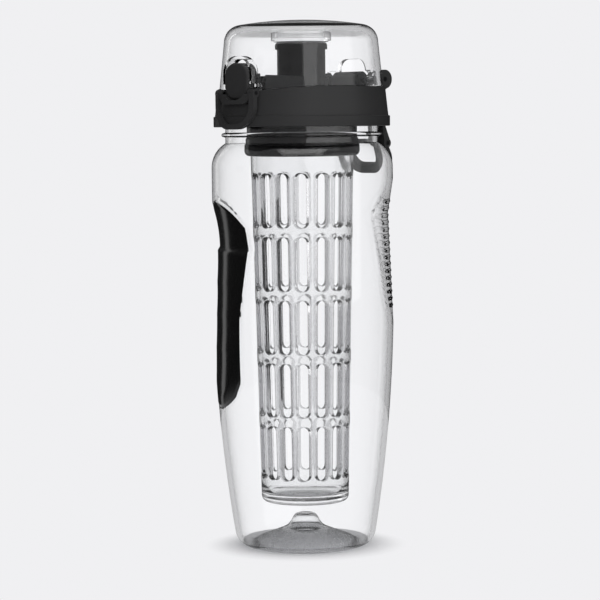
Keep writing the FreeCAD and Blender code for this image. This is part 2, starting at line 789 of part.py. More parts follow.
reach_y = dim.bezel_radius + dim.overrun
dip_run = reach_y - dim.dip_start_back
dip_fall = dip_run * dim.dip_slope_share
wide = dim.body_radius + dim.overrun
rim_dip = prism(
    "rim_dip",
    "YZ_Plane",
    -wide,
    wide,
    [
        (-dim.dip_start_back, dim.cap_top_z),
        (-dim.dip_start_back, dim.cap_top_z + dim.overrun),
        (-reach_y, dim.cap_top_z + dim.overrun),
        (-reach_y, dim.cap_top_z - dip_fall),
    ],
)
rear_notch = block(
    "rear_notch",
    (-dim.rear_notch_half_width, dim.rear_notch_half_width),
    (dim.hinge_y - dim.hinge_block_radius, reach_y),
    (dim.rear_notch_z, dim.cap_top_z + dim.overrun),
)


def button_outline(gap, low_z):
    """The button's rounded square seen from the front, grown by gap, down to low_z."""
    half = dim.button_half_width + gap
    high = dim.button_top_z + gap
    corner = dim.button_round + gap
    return [
        (half, low_z, corner),
        (half, high, corner),
        (-half, high, corner),
        (-half, low_z, corner),
    ]


button_well = prism(
    "button_well",
    "XZ_Plane",
    -reach_y,
    -(dim.button_back_y - dim.button_travel - dim.button_gap),
    button_outline(dim.button_gap, dim.button_low_z - dim.button_gap),
)

# Bezel: a crescent on the skirt under the button, with the bail's two pivot lugs
bezel_band = common(
    "bezel_band",
    prism(
        "bezel_outline",
        "XZ_Plane",
        -reach_y,
        -dim.bezel_back_y,
        [
            (dim.bezel_half_width, dim.bezel_low_z, dim.bezel_round),
            (dim.bezel_half_width, dim.bezel_top_z),
            (-dim.bezel_half_width, dim.bezel_top_z),
            (-dim.bezel_half_width, dim.bezel_low_z, dim.bezel_round),
        ],
    ),
    rod("bezel_round_front", "Z", dim.bezel_radius, dim.cap_low_z, dim.cap_top_z, zero, zero),
)
bail_lugs = []
bail_lug_holes = []
for side, span in both_sides(dim.bail_lug_near_x, dim.bezel_half_width):
    pivot = (-dim.bail_pivot_y, dim.bail_pivot_z)
    bail_lugs.append(rod("bail_lug_" + side, "X", dim.bail_lug_radius, *span, *pivot))
    foot_span = (-dim.bail_pivot_y - dim.bail_lug_radius, -dim.bail_pivot_y + dim.bail_lug_radius)
    foot_height = (dim.bezel_top_z - dim.bail_lug_radius, dim.bail_pivot_z)
    bail_lugs.append(block("bail_lug_foot_" + side, span, foot_span, foot_height))
    bail_lug_holes.append(rod("bail_lug_hole_" + side, "X", dim.bail_pin_radius, *span, *pivot))

# Upstand: a curved wall on the deck beside the latch
upstand_ring = revolved(
    "upstand_ring",
    [
        (dim.upstand_radius - dim.upstand_wall, dim.deck_top_z),
        (dim.upstand_radius, dim.deck_top_z),
        (dim.upstand_radius, dim.upstand_top_z),
        (dim.upstand_radius - dim.upstand_wall, dim.upstand_top_z),
    ],
)
upstand_run = dim.upstand_radius - dim.upstand_back_y
upstand_side = [
    (-dim.upstand_radius, dim.deck_top_z),
    (-dim.upstand_back_y, dim.deck_top_z),
    (-dim.upstand_back_y, dim.upstand_top_z - upstand_run * dim.upstand_slope_share),
    (-dim.upstand_radius, dim.upstand_top_z),
]
upstands = []
for side, span in both_sides(dim.upstand_near_x, dim.upstand_radius):
    window = prism("upstand_window_" + side, "YZ_Plane", *span, upstand_side)
    upstands.append(common("upstand_" + side, upstand_ring, window))

# Spring seat behind the latch, with a boss that centres the spring
seat_span = (-dim.seat_front_y, -dim.seat_front_y + dim.seat_thickness)
spring_seat = block(
    "spring_seat",
    (-dim.seat_half_width, dim.seat_half_width),
    seat_span,
    (dim.deck_top_z, dim.deck_top_z + dim.seat_height),
)
spring_boss = rod(
    "spring_boss",
    "Y",
    dim.seat_boss_radius,
    -dim.seat_front_y - dim.seat_boss_length,
    -dim.seat_front_y + dim.seat_thickness / 2,
    zero,
    dim.spring_z,
)


def knuckle(name, span, radius, front_reach, rear_reach, foot_z):
    """A hinge knuckle: a disc on the hinge axis and a foot that stands on the cap."""
    disc = rod(name + "_disc", "X", radius, *span, dim.hinge_y, dim.hinge_z)
    depth = (dim.hinge_y - front_reach, dim.hinge_y + rear_reach)
    foot = block(name + "_foot", span, depth, (foot_z, dim.hinge_z))
    return [disc, foot]


# Hinge: a middle block and four ears that carry the pin
half_block = dim.hinge_block_half_width
knuckles = knuckle(
    "hinge_block",
    (-half_block, half_block),
    dim.hinge_block_radius,
    dim.hinge_block_radius,
    dim.hinge_block_radius,
    dim.deck_top_z - dim.deck_thickness / 2,
)
for side, span in both_sides(dim.inner_ear_near_x, dim.inner_ear_far_x):
    knuckles += knuckle(
        "inner_ear_" + side,
        span,
        dim.inner_ear_radius,
        dim.inner_ear_radius,
        dim.ear_rear_reach,
        dim.deck_top_z - dim.deck_thickness / 2,
    )
for side, span in both_sides(dim.outer_ear_near_x, dim.outer_ear_far_x):
    knuckles += knuckle(
        "outer_ear_" + side,
        span,
        dim.outer_ear_radius,
        dim.ear_front_reach,
        dim.ear_rear_reach,
        dim.cap_top_z - dim.ear_root,
    )
hinge_bore = rod(
    "hinge_bore",
    "X",
    dim.hinge_pin_radius,
    -dim.outer_ear_far_x,
    dim.outer_ear_far_x,
    dim.hinge_y,
    dim.hinge_z,
)

# Hangers: two lugs under the skirt's back that carry the strap loop
hangers = []
for side, span in both_sides(dim.hanger_near_x, dim.hanger_far_x):
    pivot = (dim.loop_pivot_y, dim.loop_pivot_z)
    hangers.append(rod("hanger_eye_" + side, "X", dim.hanger_eye_radius, *span, *pivot))
    hangers.append(
        prism(
            "hanger_web_" + side,
            "YZ_Plane",
            *span,
            [
                (dim.hanger_root_inner_y, dim.hanger_root_z),
                (dim.loop_pivot_y - dim.hanger_eye_radius, dim.loop_pivot_z),
                (dim.loop_pivot_y + dim.hanger_eye_radius, dim.loop_pivot_z),
                (dim.hanger_root_outer_y, dim.hanger_root_z),
            ],
        )
    )
hanger_bore = rod(
    "hanger_bore",
    "X",
    dim.loop_pin_radius,
    -dim.hanger_far_x,
    dim.hanger_far_x,
    dim.loop_pivot_y,
    dim.loop_pivot_z,
)
cap_blank = cut("cap_blank", cap_shell, rim_dip, rear_notch)
cap_base = cut(
    "cap_base",
    fuse(
        "cap_joined",
        cut("cap_front", fuse("cap_with_bezel", cap_blank, bezel_band), button_well),
        *bail_lugs,
        *upstands,
        spring_seat,
        spring_boss,
        *knuckles,
        *hangers,
    ),
    hinge_bore,
    hanger_bore,
    *bail_lug_holes,
)

# Gasket between the deck and the neck's rim
cap_gasket = revolved(
    "cap_gasket",
    [
        (dim.gasket_inner_radius, dim.neck_top_z),
        (dim.gasket_outer_radius, dim.neck_top_z),
        (dim.gasket_outer_radius, dim.neck_top_z + dim.gasket_thickness),
        (dim.gasket_inner_radius, dim.neck_top_z + dim.gasket_thickness),
    ],
)

# Spout: a plain tube with a drinking lip, clamped on the deck by its flange
flange_low_z = dim.deck_top_z + dim.spout_seal_height
spout = revolved(
    "spout",
    [
        (dim.spout_bore, deck_low_z - dim.spout_tail_drop),
        (dim.spout_tail_radius, deck_low_z - dim.spout_tail_drop),
        (dim.spout_tail_radius, flange_low_z),
        (dim.spout_flange_radius, flange_low_z),
        (dim.spout_flange_radius, flange_low_z + dim.spout_flange_height),
        (dim.spout_radius, flange_low_z + dim.spout_flange_height),
        (dim.spout_radius, dim.spout_top_z - dim.spout_lip_height),
        (dim.spout_lip_radius, dim.spout_top_z - dim.spout_lip_height),
        (dim.spout_lip_radius, dim.spout_top_z, dim.spout_lip_round),
        (dim.spout_bore, dim.spout_top_z, dim.spout_lip_round),
    ],
)
spout_seal = revolved(
    "spout_seal",
    [
        (dim.spout_tail_radius, dim.deck_top_z),
        (dim.spout_flange_radius, dim.deck_top_z),
        (dim.spout_flange_radius, flange_low_z),
        (dim.spout_tail_radius, flange_low_z),
    ],
)

# Dome lid: a clear turned shell with an arch for the latch and one for the hinge block
dome_low_z = dim.cap_top_z + dim.dome_gap
crown_round = tangent_radius(dim.dome_top_z - dim.dome_corner_z, dim.dome_corner_radius)
inner_corner_radius = dim.dome_corner_radius - dim.dome_wall
inner_corner_z = dim.dome_corner_z - dim.dome_wall
inner_top_z = dim.dome_top_z - dim.dome_wall
inner_crown_round = tangent_radius(inner_top_z - inner_corner_z, inner_corner_radius)
dome_foot_z = dome_low_z - dip_fall
dome_shell = revolved(
    "dome_shell",
    [
        (dim.dome_radius - dim.dome_wall, dome_foot_z),
        (dim.dome_radius, dome_foot_z),
        (dim.dome_radius, dome_low_z),
        (dim.dome_corner_radius, dim.dome_corner_z, "left", crown_round),
        (zero, dim.dome_top_z),
        (zero, inner_top_z, "right", inner_crown_round),
        (inner_corner_radius, inner_corner_z),
        (dim.dome_radius - dim.dome_wall, dome_low_z),
    ],
)
doc.recompute()


def ring_edges(shape, radius, height):
    """Names of the round edges of a shape at a radius and height about Z."""
    names = []
    for number, edge in enumerate(shape.Edges, start=1):
        box = edge.BoundBox
        level = abs(box.ZMin - height) + abs(box.ZMax - height)
        if level < SAME_PLACE and abs(box.XMax - radius) < SAME_PLACE:
            names.append("Edge%d" % number)
    return names


shell_turn = dome_shell.Tip
outer_round = dome_shell.newObject("PartDesign::Fillet", "dome_outer_round")
outer_round.Base = (
    shell_turn,
    ring_edges(shell_turn.Shape, dim.dome_corner_radius.number, dim.dome_corner_z.number),
)
bind(outer_round, "Radius", dim.dome_corner_round)
doc.recompute()
inner_round = dome_shell.newObject("PartDesign::Fillet", "dome_inner_round")
inner_round.Base = (
    outer_round,
    ring_edges(outer_round.Shape, inner_corner_radius.number, inner_corner_z.number),
)
bind(inner_round, "Radius", dim.dome_corner_round - dim.dome_wall)

seal_ring = revolved(
    "seal_ring",
    [
        (dim.seal_ring_radius - dim.seal_ring_wall, dim.seal_ring_low_z),
        (dim.seal_ring_radius, dim.seal_ring_low_z),
        (dim.seal_ring_radius, inner_top_z),
        (dim.seal_ring_radius - dim.seal_ring_wall, inner_top_z),
    ],
)
arch_half = dim.button_half_width + dim.button_gap
lip_half = arch_half + dim.arch_lip_width
arch_top_z = dim.button_top_z + dim.arch_headroom
lip_top_z = arch_top_z + dim.arch_lip_width
lip_round = dim.button_round + dim.button_gap + dim.arch_lip_width
arch_lip = prism(
    "arch_lip",
    "XZ_Plane",
    -dim.arch_lip_front_y,
    -(dim.dome_radius - dim.dome_wall),
    [
        (lip_half, dim.arch_lip_low_z),
        (lip_half, lip_top_z, lip_round),
        (-lip_half, lip_top_z, lip_round),
        (-lip_half, dim.arch_lip_low_z),
    ],
)
latch_arch = prism(
    "latch_arch",
    "XZ_Plane",
    -reach_y,
    -dim.seat_front_y,
    [
        (arch_half, dome_foot_z - dim.overrun),
        (arch_half, arch_top_z, dim.button_round + dim.button_gap),
        (-arch_half, arch_top_z, dim.button_round + dim.button_gap),
        (-arch_half, dome_foot_z - dim.overrun),
    ],
)
rear_arch = prism(
    "rear_arch",
    "XZ_Plane",
    dim.seat_front_y,
    reach_y,
    [
        (dim.rear_arch_half_width, dome_foot_z - dim.overrun),
        (dim.rear_arch_half_width, dim.rear_arch_top_z, dim.rear_arch_round),
        (-dim.rear_arch_half_width, dim.rear_arch_top_z, dim.rear_arch_round),
        (-dim.rear_arch_half_width, dome_foot_z - dim.overrun),
    ],
)
dome_parting = prism(
    "dome_parting",
    "YZ_Plane",
    -wide,
    wide,
    [
        (wide, dome_low_z),
        (-dim.dip_start_back, dome_low_z),
        (-reach_y, dome_low_z - dip_fall),
        (-reach_y, dome_foot_z - dim.overrun),
        (wide, dome_foot_z - dim.overrun),
    ],
)
catch_top_z = dim.wing_low_z - dim.catch_gap
catches = []
lugs = []
reliefs = []
for side, span in both_sides(dim.catch_near_x, dim.wing_half_width):
    depth = (-(dim.dome_radius - dim.dome_wall), -(dim.wing_front_y + dim.catch_wing_gap))
    catches.append(block("catch_" + side, span, depth, (catch_top_z - dim.catch_height, catch_top_z)))
for side, span in both_sides(dim.lug_near_x, dim.lug_far_x):
    lugs.append(rod("dome_lug_" + side, "X", dim.lug_radius, *span, dim.hinge_y, dim.hinge_z))
relief_radius = dim.outer_ear_radius + dim.ear_relief
relief_spans = both_sides(dim.lug_far_x, dim.outer_ear_far_x + dim.ear_relief)
relief_spans += (("middle", (-dim.lug_near_x, dim.lug_near_x)),)
for side, span in relief_spans:
    reliefs.append(rod("relief_" + side, "X", relief_radius, *span, dim.hinge_y, dim.hinge_z))
    depth = (dim.hinge_y - relief_radius, reach_y)
    reliefs.append(block("relief_foot_" + side, span, depth, (dome_foot_z, dim.hinge_z)))
lid_bore = rod(
    "lid_bore",
    "X",
    dim.hinge_pin_radius + dim.hinge_play,
    -wide,
    wide,
    dim.hinge_y,
    dim.hinge_z,
)
dome_walls = cut(
    "dome_walls",
    fuse("dome_with_lip", dome_shell, arch_lip),
    latch_arch,
    rear_arch,
    dome_parting,
    *reliefs,
)
dome_lid = cut("dome_lid", fuse("dome_joined", dome_walls, seal_ring, *lugs, *catches), lid_bore)

# Lid seal: a silicone cup pressed into the ceiling ring, above the spout's lip
seal_radius = dim.seal_ring_radius - dim.seal_ring_wall
lid_seal_low_z = dim.spout_top_z + dim.lid_seal_gap
ceiling_z = inner_top_z - (inner_top_z - inner_corner_z) * (
    (seal_radius * seal_radius) / (inner_corner_radius * inner_corner_radius)
)
lid_seal = revolved(
    "lid_seal",
    [
        (zero, lid_seal_low_z),
        (seal_radius, lid_seal_low_z),
        (seal_radius, ceiling_z),
        (seal_radius - dim.lid_seal_wall, ceiling_z),
        (seal_radius - dim.lid_seal_wall, lid_seal_low_z + dim.lid_seal_thickness),
        (zero, lid_seal_low_z + dim.lid_seal_thickness),
    ],
)

hinge_pin = rod(
    "hinge_pin",
    "X",
    dim.hinge_pin_radius,
    -dim.outer_ear_far_x,
    dim.outer_ear_far_x,
    dim.hinge_y,
    dim.hinge_z,
)

# Latch button: rounded face, carriage through the skirt, wings over the dome's catches
button_shell = prism(
    "button_shell",
    "XZ_Plane",
    -dim.button_face_y,
    -dim.button_back_y,
    button_outline(zero, dim.button_low_z),
)
doc.recompute()
shell_push = button_shell.Tip
face_edges = []
for number, edge in enumerate(shell_push.Shape.Edges, start=1):
    box = edge.BoundBox
    level = abs(box.YMin + dim.button_face_y.number) + abs(box.YMax + dim.button_face_y.number)
    if level < SAME_PLACE:
        face_edges.append("Edge%d" % number)
face_round = button_shell.newObject("PartDesign::Fillet", "button_face_round")
face_round.Base = (shell_push, face_edges)
bind(face_round, "Radius", dim.button_face_round)
carriage = block(
    "carriage",
    (-dim.carriage_half_width, dim.carriage_half_width),
    (-dim.button_back_y, -dim.carriage_back_y),
    (dim.carriage_low_z, dim.carriage_top_z),
)
wings = block(
    "wings",
    (-dim.wing_half_width, dim.wing_half_width),
    (-dim.wing_front_y, -dim.carriage_back_y),
    (dim.wing_low_z, dim.wing_low_z + dim.wing_height),
)
latch_button = fuse("latch_button", button_shell, carriage, wings)


def spring_path(start, radius, pitch, turns):
    """A coil along +Y from start: quarter turns, each of two tangent arcs."""
    quarter = math.pi / 2
    rise = pitch / 4

    def point(step):
        angle = quarter * step
        return start + FreeCAD.Vector(radius * math.cos(angle), rise * step, radius * math.sin(angle))

    def heading(step):
        angle = quarter * step
        way = FreeCAD.Vector(-radius * quarter * math.sin(angle), rise, radius * quarter * math.cos(angle))
        return way.normalize()

    def arc(first, corner, last):
        middle = (first + last) * 0.5
        half = (last - first).Length / 2
        lift = (corner - middle).Length
        bend = (corner - first).Length * half / lift
        crown = middle + (corner - middle) * ((bend - math.sqrt(bend * bend - half * half)) / lift)
        return Part.Arc(first, crown, last).toShape()

    arcs = []
    for step in range(4 * turns):
        first, last = point(step), point(step + 1)
        out, into = heading(step), heading(step + 1)
        span = last - first
        spread = 2 * (1 - out.dot(into))
        along = span.dot(out + into)
        reach = (math.sqrt(along * along + spread * span.dot(span)) - along) / spread
        joint = (first + out * reach + last - into * reach) * 0.5
        arcs.append(arc(first, first + out * reach, joint))
        arcs.append(arc(joint, last - into * reach, last))
    return Part.Wire(arcs), point(0), heading(0)


# Latch spring: one unbroken wire between the carriage and its seat
spring_from = -(dim.carriage_back_y - dim.spring_gap - dim.spring_wire_radius)
spring_to = -(dim.seat_front_y + dim.spring_gap + dim.spring_wire_radius)
spring_pitch = (spring_to - spring_from).number / SPRING_TURNS
wire_radius = dim.spring_wire_radius.number
coil_start = FreeCAD.Vector(0, spring_from.number, dim.spring_z.number)
coil_radius = dim.spring_mean_radius.number
coil, coil_end, coil_way = spring_path(coil_start, coil_radius, spring_pitch, SPRING_TURNS)
section = Part.Wire([Part.Circle(coil_end, coil_way, wire_radius).toShape()])
latch_spring = doc.addObject("Part::Feature", "latch_spring")
latch_spring.Shape = coil.makePipeShell([section], True, False)
print("latch spring, least gap between turns: %.2f mm" % (spring_pitch - 2 * wire_radius))

# Lock bail: a U that hugs the skirt and swings up over the arch lip
bail_near_x = dim.bezel_half_width + dim.bail_side_gap
bail_far_x = bail_near_x + dim.bail_bar
bail_low_z = dim.bail_pivot_z - dim.bail_length
bail_inner_low_z = bail_low_z + dim.bail_bar
bail_plate = prism(
    "bail_plate",
    "XZ_Plane",
    -(dim.bail_inner_radius + dim.bail_thickness),
    zero,
    [
        (bail_far_x, bail_low_z, dim.bail_round + dim.bail_bar),
        (bail_far_x, dim.bail_pivot_z),
        (bail_near_x, dim.bail_pivot_z),
        (bail_near_x, bail_inner_low_z, dim.bail_round),
        (-bail_near_x, bail_inner_low_z, dim.bail_round),
        (-bail_near_x, dim.bail_pivot_z),
        (-bail_far_x, dim.bail_pivot_z),
        (-bail_far_x, bail_low_z, dim.bail_round + dim.bail_bar),
    ],
)
bail_skin = revolved(
    "bail_skin",
    [
        (dim.bail_inner_radius, bail_low_z - dim.overrun),
        (dim.bail_inner_radius + dim.bail_thickness, bail_low_z - dim.overrun),
        (dim.bail_inner_radius + dim.bail_thickness, dim.bail_pivot_z + dim.overrun),
        (dim.bail_inner_radius, dim.bail_pivot_z + dim.overrun),
    ],
)
bail_eyes = []
bail_pins = []
bail_pivot = (-dim.bail_pivot_y, dim.bail_pivot_z)
for side, span in both_sides(bail_near_x, bail_far_x):
    bail_eyes.append(rod("bail_eye_" + side, "X", dim.bail_eye_radius, *span, *bail_pivot))
for side, span in both_sides(dim.bezel_half_width - dim.bail_pin_sink, bail_far_x):
    bail_pins.append(rod("bail_pin_" + side, "X", dim.bail_pin_radius, *span, *bail_pivot))
bail_bore = rod(
    "bail_bore",
    "X",
    dim.bail_pin_radius + dim.bail_play,
    -wide,
    wide,
    *bail_pivot,
)
lock_bail = cut(
    "lock_bail",
    fuse("bail_joined", common("bail_bar", bail_plate, bail_skin), *bail_eyes),
    bail_bore,
)

# Carry loop: a strap loop on its pin, leaning out over the shoulder
loop_plate = prism(
    "loop_plate",
    "XZ_Plane",
    -dim.loop_thickness / 2,
    dim.loop_thickness / 2,
    [
        (dim.loop_half_width, -dim.loop_drop, dim.loop_round),
        (dim.loop_half_width, -dim.loop_neck_drop),
        (dim.loop_bar_half_width, -dim.loop_neck_drop),
        (dim.loop_bar_half_width, zero),
        (-dim.loop_bar_half_width, zero),
        (-dim.loop_bar_half_width, -dim.loop_neck_drop),
        (-dim.loop_half_width, -dim.loop_neck_drop),
        (-dim.loop_half_width, -dim.loop_drop, dim.loop_round),
    ],
    [
        (dim.loop_hole_half_width, -dim.loop_hole_low_drop, dim.loop_hole_round),
        (dim.loop_hole_half_width, -dim.loop_hole_top_drop),
        (-dim.loop_hole_half_width, -dim.loop_hole_top_drop),
        (-dim.loop_hole_half_width, -dim.loop_hole_low_drop, dim.loop_hole_round),
    ],
)
loop_bar = rod(
    "loop_bar",
    "X",
    dim.loop_bar_radius,
    -dim.loop_bar_half_width,
    dim.loop_bar_half_width,
    zero,
    zero,
)
loop_hole = rod(
    "loop_hole",
    "X",
    dim.loop_pin_radius + dim.loop_play,
    -wide,
    wide,
    zero,
    zero,
)
carry_loop = cut("carry_loop", fuse("loop_joined", loop_plate, loop_bar), loop_hole)
carry_loop.Placement = FreeCAD.Placement(
    FreeCAD.Vector(), FreeCAD.Rotation(FreeCAD.Vector(1, 0, 0), dim.loop_tilt_angle.number)
)
bind(carry_loop, "Placement.Rotation.Angle", dim.loop_tilt_angle)
bind(carry_loop, "Placement.Base.y", dim.loop_pivot_y)
bind(carry_loop, "Placement.Base.z", dim.loop_pivot_z)
loop_pin = rod(
    "loop_pin",
    "X",
    dim.loop_pin_radius,
    -dim.hanger_far_x,
    dim.hanger_far_x,
    dim.loop_pivot_y,
    dim.loop_pivot_z,
)

# Infuser collar: screws on the spigot and holds the basket by its flange
collar_bore = dim.spigot_radius + dim.collar_thread_gap
lip_bore = dim.basket_radius + dim.basket_play
collar_top_z = deck_low_z - dim.collar_top_gap
collar_lip_z = dim.collar_low_z + dim.collar_lip_height
collar_upper_radius = dim.collar_waist_radius - dim.collar_groove_depth
infuser_collar = revolved(
    "infuser_collar",
    [
        (lip_bore, dim.collar_low_z),
        (dim.collar_radius, dim.collar_low_z, dim.collar_round),
        (dim.collar_radius, collar_lip_z),
        (dim.collar_waist_radius, collar_lip_z + dim.collar_radius - dim.collar_waist_radius),
        (dim.collar_waist_radius, dim.collar_groove_low_z),
        (collar_upper_radius, dim.collar_groove_low_z + dim.collar_groove_depth),
        (collar_upper_radius, collar_top_z),
        (collar_bore, collar_top_z),
        (collar_bore, collar_lip_z),
        (lip_bore, collar_lip_z),
    ],
)

# Infuser basket: a tapered tube, five rows of slots in two halves with a wide bar between
basket_run = dim.collar_low_z - dim.basket_low_z
inner_low_radius = dim.basket_low_radius - dim.basket_wall
flange_top_z = collar_lip_z + dim.basket_flange_height
infuser_basket = revolved(
    "infuser_basket",
    [
        (zero, dim.basket_low_z),
        (dim.basket_low_radius - dim.basket_heel_round, dim.basket_low_z, "left", dim.basket_heel_round),
        (dim.basket_low_radius, dim.basket_low_z + dim.basket_heel_round),
        (dim.basket_radius, dim.collar_low_z),
        (dim.basket_radius, collar_lip_z),
        (collar_bore - dim.basket_play, collar_lip_z),
        (collar_bore - dim.basket_play, flange_top_z),
        (dim.basket_radius - dim.basket_wall, flange_top_z),
        (dim.basket_radius - dim.basket_wall, dim.collar_low_z),
        (inner_low_radius, dim.basket_low_z + dim.basket_floor),
        (zero, dim.basket_low_z + dim.basket_floor),
    ],
)
doc.recompute()
basket_turn = infuser_basket.Tip
slot_half = dim.slot_width / 2
slot_loops = []
for slot_row in range(SLOT_ROWS):
    top_z = dim.slot_top_z - slot_row * dim.slot_row_pitch
    low_z = top_z - dim.slot_length
    slot_loops.append(
        [
            (zero, low_z, "left", slot_half),
            (slot_half, low_z + slot_half),
            (slot_half, top_z - slot_half, "left", slot_half),
            (zero, top_z, "left", slot_half),
            (-slot_half, top_z - slot_half),
            (-slot_half, low_z + slot_half, "left", slot_half),
        ]
    )
slot_sketch = new_sketch(infuser_basket, "XZ_Plane", *slot_loops)
slot_pocket = infuser_basket.newObject("PartDesign::Pocket", "slot_pocket")
slot_pocket.Profile = slot_sketch
slot_pocket.SideType = "Symmetric"
bind(slot_pocket, "Length", (dim.basket_radius + dim.overrun) * 2)
doc.recompute()
slot_pattern = infuser_basket.newObject("PartDesign::PolarPattern", "slot_pattern")
slot_pattern.Originals = [slot_pocket]
slot_pattern.Axis = (slot_sketch, ["V_Axis"])
bind(slot_pattern, "Angle", dim.slot_spread_angle)
slot_pattern.Occurrences = SLOT_PAIRS
infuser_basket.Tip = slot_pattern
turned_about_z(infuser_basket, dim.basket_turn_angle, zero)
doc.recompute()
if slot_pattern.Shape.Volume >= basket_turn.Shape.Volume:
    raise RuntimeError("the slots cut nothing")

infuser_seal = revolved(
    "infuser_seal",
    [
        (dim.basket_radius - dim.basket_wall, flange_top_z),
        (dim.spigot_radius, flange_top_z),
        (dim.spigot_radius, dim.spigot_low_z),
        (dim.basket_radius - dim.basket_wall, dim.spigot_low_z),
    ],
)

nodes = [
    bottle_body,
    rubber_grip,
    cap_gasket,
    cap_base,
    spout,
    spout_seal,
    dome_lid,
    lid_seal,
    hinge_pin,
    latch_button,
    latch_spring,
    lock_bail,
    *bail_pins,
    carry_loop,
    loop_pin,
    infuser_collar,
    infuser_basket,
    infuser_seal,
]
doc.recompute()
faults = []
for item in doc.Objects:
    if "Invalid" in item.State or "Error" in item.State:
        faults.append("%s: %s" % (item.Label, item.State))
for node in nodes:
    if node.Shape.isNull() or not node.Shape.isValid():
        faults.append("%s has no valid shape" % node.Label)
if faults:
    raise RuntimeError("; ".join(faults))

os.makedirs("parts", exist_ok=True)
for node in nodes:
    shape = node.Shape
    shape.exportStep("parts/%s.step" % node.Label)
    print("%s: %d solids, %.0f mm3" % (node.Label, len(shape.Solids), shape.Volume))
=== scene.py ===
import math

import bpy
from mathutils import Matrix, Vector


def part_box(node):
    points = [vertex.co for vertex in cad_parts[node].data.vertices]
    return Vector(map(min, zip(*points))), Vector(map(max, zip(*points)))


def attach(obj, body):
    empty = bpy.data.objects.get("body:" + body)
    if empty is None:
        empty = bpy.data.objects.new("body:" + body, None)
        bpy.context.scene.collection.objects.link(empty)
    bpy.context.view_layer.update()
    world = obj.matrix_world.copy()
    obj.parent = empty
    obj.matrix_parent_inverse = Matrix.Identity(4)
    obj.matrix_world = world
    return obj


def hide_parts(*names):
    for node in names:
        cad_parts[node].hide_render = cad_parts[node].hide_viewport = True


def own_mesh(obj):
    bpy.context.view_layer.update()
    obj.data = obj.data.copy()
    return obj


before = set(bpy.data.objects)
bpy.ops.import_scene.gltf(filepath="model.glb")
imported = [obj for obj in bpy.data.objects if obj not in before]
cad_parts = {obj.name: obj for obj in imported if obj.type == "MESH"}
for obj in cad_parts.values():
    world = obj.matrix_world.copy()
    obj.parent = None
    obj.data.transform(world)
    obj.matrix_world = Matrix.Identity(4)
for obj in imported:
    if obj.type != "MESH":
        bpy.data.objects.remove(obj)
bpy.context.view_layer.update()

# The bottle is one clear moulding, stretched and blown to a waist, with a pushed-up base and a
# screw neck. One side is dished to take the rubber grip, and a ribbed recess for the thumb is
# opposite. The cap's gasket seats on the neck's rim.
MM = 0.001
WALL = 2.4
BODY_RADIUS = 45.2
STRAIGHT_LOW, SHOULDER_LOW, SHOULDER_TOP, NECK_TOP = 130.0, 190.0, 202.2, 220.0
NECK_RADIUS = 38.2
FOOT_RADIUS, HEEL_RADIUS, HEEL_TOP = 27.0, 35.3, 7.0
PUNT = [(0.0, 15.5), (3.5, 15.4), (5.2, 14.8), (6.2, 13.5), (7.2, 11.5), (8.6, 9.6), (10.5, 8.4),
        (16.0, 6.2), (23.4, 3.4), (24.3, 2.6), (24.7, 1.2), (25.1, 0.3), (25.8, 0.0)]
PUNT_WALL = 1.0


def tangent_radius(run, rise):
    """Radius of an arc that starts along rise and has moved by run at its end."""
    return (run * run + rise * rise) / (2 * run)


HEEL_ARC = tangent_radius(HEEL_TOP, HEEL_RADIUS - FOOT_RADIUS)
SIDE_ARC = tangent_radius(BODY_RADIUS - HEEL_RADIUS, STRAIGHT_LOW - HEEL_TOP)
SHOULDER_ARC = tangent_radius(BODY_RADIUS - NECK_RADIUS, SHOULDER_TOP - SHOULDER_LOW)


def bottle_radius(height):
    """Outer radius of the plain turned bottle at a height, in millimetres."""
    if height < HEEL_TOP:
        return FOOT_RADIUS + math.sqrt(max(HEEL_ARC**2 - (HEEL_ARC - height) ** 2, 0))
    if height < STRAIGHT_LOW:
        return BODY_RADIUS - SIDE_ARC + math.sqrt(SIDE_ARC**2 - (STRAIGHT_LOW - height) ** 2)
    if height < SHOULDER_LOW:
        return BODY_RADIUS
    if height < SHOULDER_TOP:
        rise = height - SHOULDER_LOW
        return BODY_RADIUS - SHOULDER_ARC + math.sqrt(SHOULDER_ARC**2 - rise**2)
    return NECK_RADIUS


def heights(low, high, step):
    """Even heights from low up to, and not including, high."""
    count = max(1, round((high - low) / step))
    return [low + (high - low) * index / count for index in range(count)]


def smooth_step(low, high, value):
    """Zero below low, one above high, and an even rise between them."""
    share = min(max((value - low) / (high - low), 0), 1)
    return share * share * (3 - 2 * share)


GRIP_TURN, GRIP_BACK = math.radians(-28), 34.8
DISH, DISH_LOW, DISH_RISE, DISH_FLARE = 40.4, 149.5, 26.5, 5.2
PANEL_STEP, PANEL_FLARE, STEP_EASE = 1.1, 1.6, 0.8
FINGERS, FINGER_PITCH, FINGER_SAG = 4, 16.5, 0.2
PANEL_LOW = DISH_LOW - FINGERS * FINGER_PITCH
DISH_ARC = tangent_radius(DISH_FLARE, DISH_RISE)


def grip_reach(height, sag):
    """How far the grip's surface stands from the bottle's axis, with finger grooves sag deep."""
    if height > DISH_LOW + DISH_RISE:
        return BODY_RADIUS + DISH_FLARE
    dish = DISH
    if height > DISH_LOW:
        dish += DISH_ARC - math.sqrt(DISH_ARC**2 - (height - DISH_LOW) ** 2)
    down = DISH_LOW - height
    panel = DISH + PANEL_STEP + PANEL_FLARE * down / (FINGERS * FINGER_PITCH)
    if PANEL_LOW < height < DISH_LOW:
        across = (down % FINGER_PITCH) / FINGER_PITCH * 2 - 1
        panel -= sag * (1 - across * across)
    step = smooth_step(DISH_LOW - STEP_EASE, DISH_LOW + STEP_EASE, height)
    return panel + (dish - panel) * step


